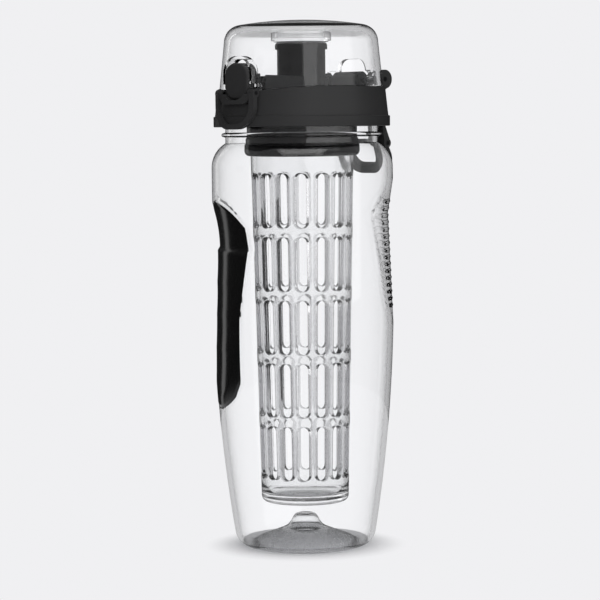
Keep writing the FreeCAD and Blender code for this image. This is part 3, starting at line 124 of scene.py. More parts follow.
RIB_TURN, RIB_BACK = math.radians(138), 12.5
RIB_DEEP, RIB_DEPTH, RIB_RISE, RIB_FALL = 167.0, 2.6, 17.0, 60.0
RIBS, RIB_PITCH, RIB_FIRST, RIB_RADIUS, RIB_SINK = 16, 3.45, 172.8, 1.2, 0.9
RIB_END_SHARE, RIB_FULL_SHARE = 0.5, 0.62


def rib_reach(height):
    """How far the ribbed recess's floor stands from the bottle's axis."""
    if height > RIB_DEEP:
        return BODY_RADIUS - RIB_DEPTH * (1 - (height - RIB_DEEP) / RIB_RISE)
    return BODY_RADIUS - RIB_DEPTH * (1 - (RIB_DEEP - height) / RIB_FALL)


def rib_height(height):
    """How far a rib stands off the recess's floor."""
    place = (RIB_FIRST - height) / RIB_PITCH
    if not -0.5 < place < RIBS - 0.5:
        return 0.0
    off = (place - round(place)) * RIB_PITCH / RIB_RADIUS
    return max(RIB_RADIUS * math.sqrt(max(1 - off * off, 0)) - RIB_SINK, 0)


def scooped(turn, reach, back, angle):
    """Radius at which a scoop about an axis behind the bottle's meets the ray at an angle."""
    lean = math.cos(angle - turn)
    if lean <= 0:
        return math.inf
    around = (reach + back) ** 2 - back**2 * (1 - lean * lean)
    return math.sqrt(around) - back * lean


PAD_TOP, PAD_SHOULDER, PAD_HIP, PAD_WAIST, PAD_LOW, PAD_FOOT, PAD_BOTTOM = (
    173.0, 161.0, 149.0, 116.0, 85.0, 78.0, 71.0)
PAD_HALF_WIDTHS = {PAD_SHOULDER: 27.2, PAD_HIP: 28.1, PAD_WAIST: 23.2, PAD_LOW: 21.9, PAD_FOOT: 18.1}
PAD_TOP_ARC = tangent_radius(PAD_TOP - PAD_SHOULDER, PAD_HALF_WIDTHS[PAD_SHOULDER])
PAD_BOTTOM_ARC = tangent_radius(PAD_FOOT - PAD_BOTTOM, PAD_HALF_WIDTHS[PAD_FOOT])
PAD_DEPTH, BED_START, BED_FULL = 1.15, 0.5, 2.0


def pad_half_width(height):
    """Half the grip pad's width at a height, zero outside it."""
    if not PAD_BOTTOM < height < PAD_TOP:
        return 0.0
    if height > PAD_SHOULDER:
        return math.sqrt(PAD_TOP_ARC**2 - (PAD_TOP_ARC - PAD_TOP + height) ** 2)
    if height < PAD_FOOT:
        return math.sqrt(PAD_BOTTOM_ARC**2 - (PAD_BOTTOM_ARC - height + PAD_BOTTOM) ** 2)
    levels = sorted(PAD_HALF_WIDTHS)
    above = next(level for level in levels if level >= height)
    below = levels[max(levels.index(above) - 1, 0)]
    share = (height - below) / (above - below) if above > below else 0
    return PAD_HALF_WIDTHS[below] + (PAD_HALF_WIDTHS[above] - PAD_HALF_WIDTHS[below]) * share


def pad_bed_depth(across, height):
    """How deep the pad's bed is sunk in the wall; it runs out just inside the pad's edge."""
    return PAD_DEPTH * smooth_step(BED_START, BED_FULL, pad_half_width(height) - abs(across))


def edit_all(piece):
    """Goes into edit mode on one piece with all of it selected."""
    bpy.ops.object.select_all(action="DESELECT")
    piece.select_set(True)
    bpy.context.view_layer.objects.active = piece
    bpy.ops.object.mode_set(mode="EDIT")
    bpy.ops.mesh.select_all(action="SELECT")


def drawn(name, points, closed=False):
    """A new piece holding one line through points given in millimetres."""
    count = len(points)
    edges = [(index, (index + 1) % count) for index in range(count if closed else count - 1)]
    mesh = bpy.data.meshes.new(name)
    mesh.from_pydata([Vector(point) * MM for point in points], edges, [])
    piece = bpy.data.objects.new(name, mesh)
    bpy.context.scene.collection.objects.link(piece)
    return piece


SEAM = 0.002


def spun(name, section, steps):
    """Turns a half section of (radius, height) points in millimetres about the bottle's axis."""
    piece = drawn(name, [(radius, 0, height) for radius, height in section])
    edit_all(piece)
    bpy.ops.mesh.spin(steps=steps, angle=math.tau, center=(0, 0, 0), axis=(0, 0, 1))
    bpy.ops.mesh.select_all(action="SELECT")
    bpy.ops.mesh.remove_doubles(threshold=SEAM * MM)
    bpy.ops.mesh.normals_make_consistent(inside=False)
    bpy.ops.object.mode_set(mode="OBJECT")
    return piece


def smooth(piece, degrees=35):
    """Shades a piece smooth but for edges sharper than an angle."""
    bpy.ops.object.select_all(action="DESELECT")
    piece.select_set(True)
    bpy.context.view_layer.objects.active = piece
    bpy.ops.object.shade_smooth_by_angle(angle=math.radians(degrees))


def dressed(piece, body, slot, material, *nodes):
    """Gives a piece its material and says what it rides on and which node it stands for."""
    piece.data.materials.clear()
    piece.data.materials.append(material)
    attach(piece, body)
    if nodes:
        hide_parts(*nodes)


MOTTLE_LOW, MOTTLE_HIGH, MOTTLE_DETAIL, GRAIN_DETAIL = 0.3, 0.7, 3, 2


def surface_group():
    """Fine unevenness of a moulded surface: slow mottling, fine grain and a bump height."""
    group = bpy.data.node_groups.new("Moulded surface", "ShaderNodeTree")
    group.interface.new_socket("Vector", in_out="INPUT", socket_type="NodeSocketVector")
    for name in ("Mottle Scale", "Grain Scale", "Least Roughness", "Most Roughness"):
        group.interface.new_socket(name, in_out="INPUT", socket_type="NodeSocketFloat")
    for name in ("Mottle", "Roughness", "Height"):
        group.interface.new_socket(name, in_out="OUTPUT", socket_type="NodeSocketFloat")
    nodes, links = group.nodes, group.links
    enter = nodes.new("NodeGroupInput")
    leave = nodes.new("NodeGroupOutput")
    mottle = nodes.new("ShaderNodeTexNoise")
    mottle.inputs["Detail"].default_value = MOTTLE_DETAIL
    grain = nodes.new("ShaderNodeTexNoise")
    grain.inputs["Detail"].default_value = GRAIN_DETAIL
    links.new(enter.outputs["Vector"], mottle.inputs["Vector"])
    links.new(enter.outputs["Vector"], grain.inputs["Vector"])
    links.new(enter.outputs["Mottle Scale"], mottle.inputs["Scale"])
    links.new(enter.outputs["Grain Scale"], grain.inputs["Scale"])
    spread = nodes.new("ShaderNodeMapRange")
    links.new(mottle.outputs["Fac"], spread.inputs["Value"])
    spread.inputs["From Min"].default_value = MOTTLE_LOW
    spread.inputs["From Max"].default_value = MOTTLE_HIGH
    links.new(enter.outputs["Least Roughness"], spread.inputs["To Min"])
    links.new(enter.outputs["Most Roughness"], spread.inputs["To Max"])
    links.new(mottle.outputs["Fac"], leave.inputs["Mottle"])
    links.new(spread.outputs["Result"], leave.inputs["Roughness"])
    links.new(grain.outputs["Fac"], leave.inputs["Height"])
    return group


MOULDED_SURFACE = surface_group()


def moulded(name, dark, light, roughness, mottle_scale, grain_scale, bump, **sockets):
    """A moulded material of two close tones, with a bump in millimetres; sockets are its constants."""
    material = bpy.data.materials.new(name)
    material.use_nodes = True
    nodes, links = material.node_tree.nodes, material.node_tree.links
    shader = nodes["Principled BSDF"]
    for socket, value in sockets.items():
        shader.inputs[socket.replace("_", " ")].default_value = value
    place = nodes.new("ShaderNodeTexCoord")
    surface = nodes.new("ShaderNodeGroup")
    surface.node_tree = MOULDED_SURFACE
    surface.inputs["Mottle Scale"].default_value = mottle_scale
    surface.inputs["Grain Scale"].default_value = grain_scale
    surface.inputs["Least Roughness"].default_value = roughness[0]
    surface.inputs["Most Roughness"].default_value = roughness[1]
    links.new(place.outputs["Object"], surface.inputs["Vector"])
    tones = nodes.new("ShaderNodeMix")
    tones.data_type = "RGBA"
    tones.inputs["A"].default_value = (*dark, 1)
    tones.inputs["B"].default_value = (*light, 1)
    links.new(surface.outputs["Mottle"], tones.inputs["Factor"])
    links.new(tones.outputs["Result"], shader.inputs["Base Color"])
    links.new(surface.outputs["Roughness"], shader.inputs["Roughness"])
    relief = nodes.new("ShaderNodeBump")
    relief.inputs["Strength"].default_value = 1
    relief.inputs["Distance"].default_value = bump * MM
    links.new(surface.outputs["Height"], relief.inputs["Height"])
    links.new(relief.outputs["Normal"], shader.inputs["Normal"])
    return material


def let_lamps_through(material, share_color):
    """Lets lamp light pass a clear material, tinted, so that what is inside is lit."""
    nodes, links = material.node_tree.nodes, material.node_tree.links
    path = nodes.new("ShaderNodeLightPath")
    clear = nodes.new("ShaderNodeBsdfTransparent")
    clear.inputs["Color"].default_value = (*share_color, 1)
    either = nodes.new("ShaderNodeMixShader")
    links.new(path.outputs["Is Shadow Ray"], either.inputs[0])
    links.new(nodes["Principled BSDF"].outputs[0], either.inputs[1])
    links.new(clear.outputs[0], either.inputs[2])
    links.new(either.outputs[0], nodes["Material Output"].inputs["Surface"])
    return material


clear_bottle = let_lamps_through(
    moulded("clear bottle plastic", (0.985, 0.988, 0.99), (0.995, 0.996, 0.997), (0.005, 0.02),
            9, 60, 0.006, Transmission_Weight=1.0, IOR=1.43),
    (0.8, 0.805, 0.81))

FROST_LOW_FADE, FROST_HIGH_FADE, FROST_TOP_FADE = 4.0, 0.4, 1.0
STIPPLE_SCALE, STIPPLE_WIDE, STIPPLE_LEAST = 650, 0.7, 0.25


def stippled_foot(material, color, roughness, low, high, top):
    """Frosts the pushed-up base from below, between two radii and up to a top, in millimetres."""
    nodes, links = material.node_tree.nodes, material.node_tree.links
    shader = nodes["Principled BSDF"]
    parts = nodes.new("ShaderNodeSeparateXYZ")
    links.new(nodes["Texture Coordinate"].outputs["Object"], parts.inputs[0])
    flat = nodes.new("ShaderNodeCombineXYZ")
    links.new(parts.outputs["X"], flat.inputs["X"])
    links.new(parts.outputs["Y"], flat.inputs["Y"])
    reach = nodes.new("ShaderNodeVectorMath")
    reach.operation = "LENGTH"
    links.new(flat.outputs[0], reach.inputs[0])
    mask = None
    for source, start, end in ((reach.outputs["Value"], low, low + FROST_LOW_FADE),
                               (reach.outputs["Value"], high + FROST_HIGH_FADE, high),
                               (parts.outputs["Z"], top + FROST_TOP_FADE, top)):
        share = nodes.new("ShaderNodeMapRange")
        share.inputs["From Min"].default_value = start * MM
        share.inputs["From Max"].default_value = end * MM
        links.new(source, share.inputs["Value"])
        if mask:
            both = nodes.new("ShaderNodeMath")
            both.operation = "MULTIPLY"
            links.new(mask, both.inputs[0])
            links.new(share.outputs[0], both.inputs[1])
            mask = both.outputs[0]
        else:
            mask = share.outputs[0]
    dots = nodes.new("ShaderNodeTexVoronoi")
    dots.inputs["Scale"].default_value = STIPPLE_SCALE
    links.new(nodes["Texture Coordinate"].outputs["Object"], dots.inputs["Vector"])
    speck = nodes.new("ShaderNodeMapRange")
    speck.inputs["From Max"].default_value = STIPPLE_WIDE
    speck.inputs["To Min"].default_value = STIPPLE_LEAST
    links.new(dots.outputs["Distance"], speck.inputs["Value"])
    stipple = nodes.new("ShaderNodeMath")
    stipple.operation = "MULTIPLY"
    links.new(mask, stipple.inputs[0])
    links.new(speck.outputs[0], stipple.inputs[1])
    for socket, value, kind in (("Base Color", (*color, 1), "RGBA"), ("Roughness", roughness, "FLOAT")):
        plain = shader.inputs[socket].links[0].from_socket
        frosted = nodes.new("ShaderNodeMix")
        frosted.data_type = kind
        sockets = [one for one in frosted.inputs if one.enabled]
        links.new(stipple.outputs[0], sockets[0])
        links.new(plain, sockets[1])
        sockets[2].default_value = value
        links.new(next(one for one in frosted.outputs if one.enabled), shader.inputs[socket])


stippled_foot(clear_bottle, color=(0.86, 0.86, 0.87), roughness=0.4, low=10.0, high=FOOT_RADIUS, top=9.0)

BEAD = [(0.0, -1.2), (0.5, -1.1), (1.5, -0.8), (1.9, -0.35),
        (1.9, 0.35), (1.5, 0.8), (0.5, 1.1), (0.0, 1.2)]
BEAD_HEIGHT, RIM_EASE = 206.3, 0.6
BED_LOW, RIBBED_LOW, RIBBED_TOP = PAD_BOTTOM - 4, 116, 177
HEEL_INSIDE, NECK_INSIDE, FLOOR_START = 20, 210, 3
BOTTLE_STEPS = 240
outer = [(FOOT_RADIUS, 0.0)]
for low, high, step in ((0.15, HEEL_TOP, 0.5), (HEEL_TOP, BED_LOW, 2.4), (BED_LOW, RIBBED_LOW, 0.9),
                        (RIBBED_LOW, RIBBED_TOP, 0.43), (RIBBED_TOP, SHOULDER_LOW, 1.4),
                        (SHOULDER_LOW, SHOULDER_TOP, 0.7)):
    outer += [(bottle_radius(z), z) for z in heights(low, high, step)]
outer += [(NECK_RADIUS, SHOULDER_TOP)]
outer += [(NECK_RADIUS + proud, BEAD_HEIGHT + rise) for proud, rise in BEAD]
outer += [(NECK_RADIUS, NECK_TOP - RIM_EASE), (NECK_RADIUS - RIM_EASE, NECK_TOP)]
outer += [(NECK_RADIUS - WALL + RIM_EASE, NECK_TOP)]
inner = [(FOOT_RADIUS, WALL)]
for low, high, step in ((WALL + 1.2, HEEL_INSIDE, 1.2), (HEEL_INSIDE, SHOULDER_LOW, 2.2),
                        (SHOULDER_LOW, SHOULDER_TOP, 0.9)):
    inner += [(bottle_radius(z) - WALL, z) for z in heights(low, high, step)]
inner += [(NECK_RADIUS - WALL, z) for z in (SHOULDER_TOP, NECK_INSIDE, NECK_TOP - RIM_EASE)]
floor = [(radius, height + PUNT_WALL) for radius, height in reversed(PUNT) if height > FLOOR_START]
bottle = spun("bottle_shell", PUNT + outer + inner[::-1] + floor, BOTTLE_STEPS)
PRESSED_LOW, PRESSED_TOP = 60, SHOULDER_LOW - 1
for vertex in bottle.data.vertices:
    x, y, z = vertex.co / MM
    radius = math.hypot(x, y)
    if z < PRESSED_LOW or z > PRESSED_TOP:
        continue
    angle = math.atan2(x, -y)
    plain = bottle_radius(z)
    inside = radius < plain - WALL / 2
    inset = WALL if inside else 0.0
    grip = scooped(GRIP_TURN, grip_reach(z, 0) - inset, GRIP_BACK, angle)
    rib = scooped(RIB_TURN, rib_reach(z) - inset, RIB_BACK, angle)
    if not inside:
        depth_share = (plain - rib) / max(BODY_RADIUS - rib_reach(z), 0.1)
        rib += rib_height(z) * smooth_step(RIB_END_SHARE, RIB_FULL_SHARE, depth_share)
        if math.cos(angle - GRIP_TURN) > 0:
            grip = min(grip, plain)
            grip -= pad_bed_depth(grip * math.sin(angle - GRIP_TURN), z)
    pressed = min(radius, grip, rib)
    vertex.co.x *= pressed / radius
    vertex.co.y *= pressed / radius
smooth(bottle, 40)
dressed(bottle, "bottle", "clear_plastic", clear_bottle, "bottle_body")

# The neck's thread is part of the bottle's moulding: one rounded ridge that climbs round the neck,
# above the bead that stops the cap's skirt, and is seen once the cap is off.
THREAD_RADIUS, THREAD_LOW, THREAD_TURNS, THREAD_PITCH = 39.9, 211.4, 1.4, 4.2
THREAD_STEPS = 220
ridge = [(NECK_RADIUS - 0.3, -1.3), (NECK_RADIUS + 0.8, -1.0), (THREAD_RADIUS - 0.2, -0.5),
         (THREAD_RADIUS, 0.0), (THREAD_RADIUS - 0.2, 0.5), (NECK_RADIUS + 0.8, 1.0),
         (NECK_RADIUS - 0.3, 1.3)]
thread = drawn("neck_thread", [(radius, 0, THREAD_LOW + rise) for radius, rise in ridge], True)
climb = thread.modifiers.new("climb", "SCREW")
climb.angle = math.tau * THREAD_TURNS
climb.screw_offset = THREAD_PITCH * THREAD_TURNS * MM
climb.steps = climb.render_steps = THREAD_STEPS
climb.use_merge_vertices = False
bpy.ops.object.select_all(action="DESELECT")
bpy.context.view_layer.objects.active = thread
bpy.ops.object.modifier_apply(modifier="climb")
edit_all(thread)
bpy.ops.mesh.select_all(action="DESELECT")
bpy.ops.mesh.select_non_manifold()
bpy.ops.mesh.edge_face_add()
bpy.ops.mesh.select_all(action="SELECT")
bpy.ops.mesh.normals_make_consistent(inside=False)
bpy.ops.object.mode_set(mode="OBJECT")
smooth(thread, 50)
dressed(thread, "bottle", "clear_plastic", clear_bottle)

# The grip is a soft black rubber pad, moulded into its bed on the bottle's side. It has a dish at
# its top and four shallow finger grooves below, and its edge is rounded.
PAD_CENTRE, PAD_SPOKES, PAD_RINGS, PAD_PROUD, PAD_EDGE, PAD_SAG_EDGE = 122.0, 240, 62, 0.25, 1.2, 7.0
PAD_FARTHEST, PAD_HALVINGS, PAD_BACKING, WELD = 60.0, 40, 1.0, 0.01
outline = []
for spoke in range(PAD_SPOKES):
    way = math.tau * spoke / PAD_SPOKES
    near, far = 0.0, PAD_FARTHEST
    for halving in range(PAD_HALVINGS):
        middle = (near + far) / 2
        inside = abs(middle * math.cos(way)) < pad_half_width(PAD_CENTRE + middle * math.sin(way))
        near, far = (middle, far) if inside else (near, middle)
    outline.append((near * math.cos(way), 0, near * math.sin(way) + PAD_CENTRE))
pad = drawn("grip_pad", outline, True)
edit_all(pad)
for ring in range(PAD_RINGS):
    kept = (PAD_RINGS - ring - 1) / (PAD_RINGS - ring)
    bpy.ops.mesh.extrude_edges_move()
    bpy.ops.transform.resize(value=(kept, kept, kept), center_override=(0, 0, PAD_CENTRE * MM))
bpy.ops.mesh.select_all(action="SELECT")
bpy.ops.mesh.remove_doubles(threshold=WELD * MM)
bpy.ops.mesh.normals_make_consistent(inside=False)
bpy.ops.mesh.extrude_region_move(TRANSFORM_OT_translate={"value": (0, PAD_BACKING * MM, 0)})
bpy.ops.mesh.select_all(action="SELECT")
bpy.ops.mesh.normals_make_consistent(inside=False)
bpy.ops.object.mode_set(mode="OBJECT")
out = Vector((math.sin(GRIP_TURN), -math.cos(GRIP_TURN), 0))
sideways = Vector((math.cos(GRIP_TURN), math.sin(GRIP_TURN), 0))
for vertex in pad.data.vertices:
    x, y, z = vertex.co / MM
    under_side = y > PAD_BACKING / 2
    from_edge = pad_half_width(z) - abs(x)
    side = math.sqrt(bottle_radius(z) ** 2 - x * x)
    sag = 0 if under_side else FINGER_SAG * smooth_step(0, PAD_SAG_EDGE, from_edge)
    grip = math.sqrt((grip_reach(z, sag) + GRIP_BACK) ** 2 - x * x) - GRIP_BACK
    stand = min(side, grip)
    if under_side:
        stand -= pad_bed_depth(x, z)
    else:
        stand += PAD_PROUD * math.sqrt(smooth_step(0, PAD_EDGE, from_edge))
    vertex.co = (out * stand + sideways * x + Vector((0, 0, z))) * MM
smooth(pad, 45)
black_rubber = moulded("black grip rubber", (0.004, 0.004, 0.004), (0.007, 0.007, 0.007), (0.11, 0.16),
                       14, 900, 0.006, IOR=1.5)
dressed(pad, "bottle", "black_rubber", black_rubber, "rubber_grip")

# The infuser basket is a clear plastic tube, tapered and moulded in one with its floor and flange.
# Its five rows of round-ended slots lean along the pull of the mould half that makes them, and the
# collar holds it by the flange.
BASKET_TOP, BASKET_LOW, BASKET_WALL = 195.0, 25.7, 2.0
BASKET_TOP_RADIUS, BASKET_LOW_RADIUS = 25.7, 21.9
BASKET_BOTTOM, BASKET_HEEL, BASKET_FLOOR, FLOOR_ROUND = 22.7, 3.0, 27.2, 1.2
BOTTOM_FLAT, FLANGE_THICK, CENTRE = 4.0, 2.5, 0.001
SLOT_TOP, SLOT_PITCH, SLOT_LENGTH, SLOT_WIDTH, SLOT_ROUND = 187.2, 31.3, 26.7, 5.8, 0.55
SLOT_ROWS, SLOT_PAIRS, SLOT_FIRST, SLOT_STEP = 5, 8, 71.4, 21.8
SLOT_INNER_ROUND, SLOT_SLANT, SLANT_FULL_TURN = 0.25, 0.65, 35.0
SLOT_SPARE, SLOT_INNER_SPARE = 0.4, 0.2
ARC_STEPS, SIDE_STEPS, CORNER_TURNS = 12, 6, (0, 30, 60, 90)


def basket_radius(height):
    """Outer radius of the tapered basket at a height, in millimetres."""
    share = (height - BASKET_LOW) / (BASKET_TOP - BASKET_LOW)
    return BASKET_LOW_RADIUS + (BASKET_TOP_RADIUS - BASKET_LOW_RADIUS) * share


def slot_outline(grown):
    """A round-ended slot as points (across, up) about its middle, grown all round."""
    half, straight = SLOT_WIDTH / 2 + grown, SLOT_LENGTH / 2 - SLOT_WIDTH / 2
    points = []
    for end in (1, -1):
        for step in range(ARC_STEPS + 1):
            turn = math.pi * step / ARC_STEPS
            points.append((end * half * math.cos(turn), end * (straight + half * math.sin(turn))))
        for step in range(1, SIDE_STEPS):
            points.append((-end * half, end * straight * (1 - 2 * step / SIDE_STEPS)))
    return points


def cell_outline():
    """The edge of the wall round one slot, point by point beside slot_outline: shares of its size."""
    straight = (SLOT_LENGTH - SLOT_WIDTH) / SLOT_PITCH
    corner, points = ARC_STEPS // 4, []
    for end in (1, -1):
        for step in range(ARC_STEPS + 1):
            if step <= corner:
                point = (1, straight + (1 - straight) * step / corner)
            elif step < 3 * corner:
                point = (1 - (step - corner) / corner, 1)
            else:
                point = (-1, straight + (1 - straight) * (4 * corner - step) / corner)
            points.append((end * point[0], end * point[1]))
        for step in range(1, SIDE_STEPS):
            points.append((-end, end * straight * (1 - 2 * step / SIDE_STEPS)))
    return points


def slot_slant(turn):
    """How far a slot's wall leans per millimetre of depth: each half's slots open along its pull."""
    from_pull = (turn - SLOT_FIRST - SLOT_STEP * (SLOT_PAIRS - 1) / 2 + 90) % 180 - 90
    if abs(abs(from_pull) - 90) < 1:
        return 0.0
    return SLOT_SLANT * min(max(from_pull / SLANT_FULL_TURN, -1), 1)


# A slot's wall as loops of (growth, depth): the outer corner's round first, then the inner one's.
wall_loops = []
for corner, spare in ((SLOT_ROUND, SLOT_SPARE), (SLOT_INNER_ROUND, SLOT_INNER_SPARE)):
    arc = [(corner + spare, 0.0)]
    for degrees in CORNER_TURNS:
        turn = math.radians(degrees)
        arc.append((corner * (1 - math.sin(turn)), corner * (1 - math.cos(turn))))
    if wall_loops:
        arc = [(grown, BASKET_WALL - depth) for grown, depth in reversed(arc)]
    wall_loops += arc
half_turns = [SLOT_FIRST + SLOT_STEP * pair for pair in range(SLOT_PAIRS)]
slot_turns = sorted((turn + opposite) % 360 for turn in half_turns for opposite in (0, 180))
points, faces, painted_wall_shade = [], [], []
for index, turn in enumerate(slot_turns):
    to_left = ((turn - slot_turns[index - 1]) % 360) / 2
    to_right = ((slot_turns[(index + 1) % len(slot_turns)] - turn) % 360) / 2
    for row in range(SLOT_ROWS):
        middle = SLOT_TOP - SLOT_LENGTH / 2 - SLOT_PITCH * row
        loops = []
        for depth in (0.0, BASKET_WALL):
            edge = []
            for across, up in cell_outline():
                height = middle + up * SLOT_PITCH / 2
                edge_turn = turn + across * (to_right if across > 0 else to_left)
                radius = basket_radius(height) - depth
                lean = math.asin(slot_slant(edge_turn) * depth / radius)
                edge.append((radius, math.radians(edge_turn) + lean, height))
            loops.append(edge)
        for grown, depth in wall_loops:
            ring = []
            for across, up in slot_outline(grown):
                radius = basket_radius(middle + up) - depth
                sideways = math.asin((across + slot_slant(turn) * depth) / radius)
                ring.append((radius, math.radians(turn) + sideways, middle + up))
            loops.insert(-1, ring)
        first, count = len(points), len(loops[0])
        for place, loop in enumerate(loops):
            for radius, angle, height in loop:
                points.append((radius * math.sin(angle), -radius * math.cos(angle), height))
            # Painted shade: the rings of each slot's wall, between its rounded corners, are marked so
            # that they can be coloured grey for the dark bands that the clear walls show by refraction.
            painted_wall_shade += [1.0 if 2 < place < len(loops) - 3 else 0.0] * count
        for ring in range(len(loops) - 1):
            for step in range(count):
                low, high = first + ring * count + step, first + ring * count + (step + 1) % count
                faces.append((low, low + count, high + count, high))
mesh = bpy.data.meshes.new("slotted_basket")
mesh.from_pydata([Vector(point) * MM for point in points], [], faces)
mesh.attributes.new("slot_wall_painted_shade", "FLOAT", "POINT").data.foreach_set("value", painted_wall_shade)
basket = bpy.data.objects.new("slotted_basket", mesh)
bpy.context.scene.collection.objects.link(basket)


RIM_REACH = 0.05


def drawn_on(piece, height, inside, path):
    """Extrudes one open rim of the basket's wall through a path of (radius, height) points."""
    edit_all(piece)
    bpy.ops.mesh.remove_doubles(threshold=WELD * MM)
    bpy.ops.mesh.select_mode(type="VERT")
    bpy.ops.mesh.select_all(action="DESELECT")
    bpy.ops.object.mode_set(mode="OBJECT")
    split = basket_radius(height) - BASKET_WALL / 2
    radius = basket_radius(height) - (BASKET_WALL if inside else 0)
    for vertex in piece.data.vertices:
        within = math.hypot(vertex.co.x, vertex.co.y) < split * MM
        vertex.select = abs(vertex.co.z - height * MM) < RIM_REACH * MM and within == inside
    bpy.ops.object.mode_set(mode="EDIT")
    bpy.ops.mesh.select_mode(type="EDGE")
    for next_radius, next_height in path:
        climb = (next_height - height) * MM
        bpy.ops.mesh.extrude_edges_move(TRANSFORM_OT_translate={"value": (0, 0, climb)})
        scale = next_radius / radius
        bpy.ops.transform.resize(value=(scale, scale, 1), center_override=(0, 0, 0))
        radius, height = next_radius, next_height
    bpy.ops.mesh.select_mode(type="VERT")
    bpy.ops.object.mode_set(mode="OBJECT")


rim = SLOT_TOP + (SLOT_PITCH - SLOT_LENGTH) / 2
foot = rim - SLOT_PITCH * SLOT_ROWS
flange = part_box("infuser_basket")[1] / MM
heel = [(BASKET_LOW_RADIUS - BASKET_HEEL * (1 - math.cos(math.radians(turn))),
         BASKET_LOW - BASKET_HEEL * math.sin(math.radians(turn))) for turn in range(0, 91, 15)]
drawn_on(basket, rim, False, [
    (BASKET_TOP_RADIUS, BASKET_TOP),
    (BASKET_TOP_RADIUS, flange.z - FLANGE_THICK),
    (flange.x, flange.z - FLANGE_THICK),
    (flange.x, flange.z),
    (BASKET_TOP_RADIUS - BASKET_WALL, flange.z),
    (BASKET_TOP_RADIUS - BASKET_WALL, BASKET_TOP),
    (basket_radius(rim) - BASKET_WALL, rim)])
drawn_on(basket, foot, False, heel + [
    (BASKET_LOW_RADIUS - BASKET_HEEL - BOTTOM_FLAT, BASKET_BOTTOM),
    (CENTRE, BASKET_BOTTOM)])
drawn_on(basket, foot, True, [
    (BASKET_LOW_RADIUS - BASKET_WALL, BASKET_FLOOR + FLOOR_ROUND),
    (BASKET_LOW_RADIUS - BASKET_WALL - FLOOR_ROUND, BASKET_FLOOR),
    (CENTRE, BASKET_FLOOR)])
edit_all(basket)
bpy.ops.mesh.remove_doubles(threshold=WELD * MM)
bpy.ops.mesh.normals_make_consistent(inside=False)
bpy.ops.object.mode_set(mode="OBJECT")
smooth(basket, 50)
clear_basket = let_lamps_through(
    moulded("clear basket plastic", (0.96, 0.965, 0.97), (0.985, 0.985, 0.985), (0.05, 0.1),
            20, 700, 0.012, Transmission_Weight=1.0, IOR=1.49),
    (0.84, 0.85, 0.86))
# Painted shade: the marked slot walls are mixed towards grey, standing in for the darkening that light
# bent sideways in the walls gives; the plastic itself is not grey there.
nodes, links = clear_basket.node_tree.nodes, clear_basket.node_tree.links
shader = nodes["Principled BSDF"]
wall = nodes.new("ShaderNodeAttribute")
wall.attribute_name = "slot_wall_painted_shade"
wall_shade_grey = nodes.new("ShaderNodeMix")
wall_shade_grey.data_type = "RGBA"
wall_shade_grey.inputs["B"].default_value = (0.6, 0.6, 0.61, 1)
links.new(wall.outputs["Fac"], wall_shade_grey.inputs["Factor"])
links.new(shader.inputs["Base Color"].links[0].from_socket, wall_shade_grey.inputs["A"])
links.new(wall_shade_grey.outputs["Result"], shader.inputs["Base Color"])
dressed(basket, "infuser", "clear_plastic", clear_basket, "infuser_basket")

# The collar is a ring of glossy black plastic. It screws on the cap's spigot and clamps the
# basket's flange against it.
CAD_SEAM = 0.003


def node_copy(node, name):
    """A merged, smooth copy of a CAD node as a new piece."""
    piece = bpy.data.objects.new(name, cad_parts[node].data.copy())
    bpy.context.scene.collection.objects.link(piece)
    edit_all(piece)
    bpy.ops.mesh.customdata_custom_splitnormals_clear()
    bpy.ops.mesh.remove_doubles(threshold=CAD_SEAM * MM)
    bpy.ops.object.mode_set(mode="OBJECT")
    smooth(piece)
    return piece


black_gloss = moulded("glossy black plastic", (0.003, 0.003, 0.0032), (0.005, 0.005, 0.0053), (0.14, 0.2),
                      25, 300, 0.001, IOR=1.5, Specular_IOR_Level=0.7)
collar = node_copy("infuser_collar", "basket_collar")
dressed(collar, "infuser", "black_gloss", black_gloss, "infuser_collar")

# The seals are moulded silicone rings, pressed into place. Clouded ones lie between basket and
# spigot, between cap and neck and under the spout's flange, and a clear one is in the dome's ceiling.
silicone = moulded("clouded silicone", (0.6, 0.6, 0.6), (0.7, 0.7, 0.7), (0.35, 0.45),
                   40, 400, 0.01, IOR=1.41)
clear_silicone = let_lamps_through(
    moulded("clear silicone", (0.97, 0.97, 0.97), (0.99, 0.99, 0.99), (0.06, 0.12),
            40, 400, 0.004, Transmission_Weight=1.0, IOR=1.4),
    (0.92, 0.92, 0.92))
for node, body, rubber in (("infuser_seal", "infuser", silicone), ("cap_gasket", "gasket", silicone),
                           ("spout_seal", "cap", silicone), ("lid_seal", "lid", clear_silicone)):
    seal = node_copy(node, node + "_ring")
    dressed(seal, body, "silicone", rubber, node)

# The cap is one moulding of satin black plastic that screws on the neck. Its skirt and deck carry
# the hinge ears, the upstand, the latch's bezel, the loop's hangers and the infuser's spigot.
black_satin = moulded("satin black plastic", (0.026, 0.026, 0.0265), (0.032, 0.032, 0.0325), (0.36, 0.46),
                      18, 1200, 0.012, IOR=1.5, Specular_IOR_Level=0.25)
cap = node_copy("cap_base", "screw_cap")
dressed(cap, "cap", "black_matte", black_satin, "cap_base")

# The drinking spout is a short tube of glossy black plastic with a rolled lip. It is pressed into
# the cap's deck and stands on its ring seal.
spout = node_copy("spout", "drinking_spout")
dressed(spout, "cap", "black_gloss", black_gloss, "spout")

# The pins are blackened steel rod, cut to length and pressed into the cap: one for the dome's
# hinge, one for the carry loop and a short one at each side of the safety bail.
black_steel = moulded("blackened steel", (0.025, 0.025, 0.026), (0.04, 0.04, 0.042), (0.3, 0.42),
                      60, 900, 0.005, Metallic=1.0)
for node in ("hinge_pin", "loop_pin", "bail_pin_left", "bail_pin_right"):
    pin = node_copy(node, node + "_wire")
    dressed(pin, "cap", "steel", black_steel, node)

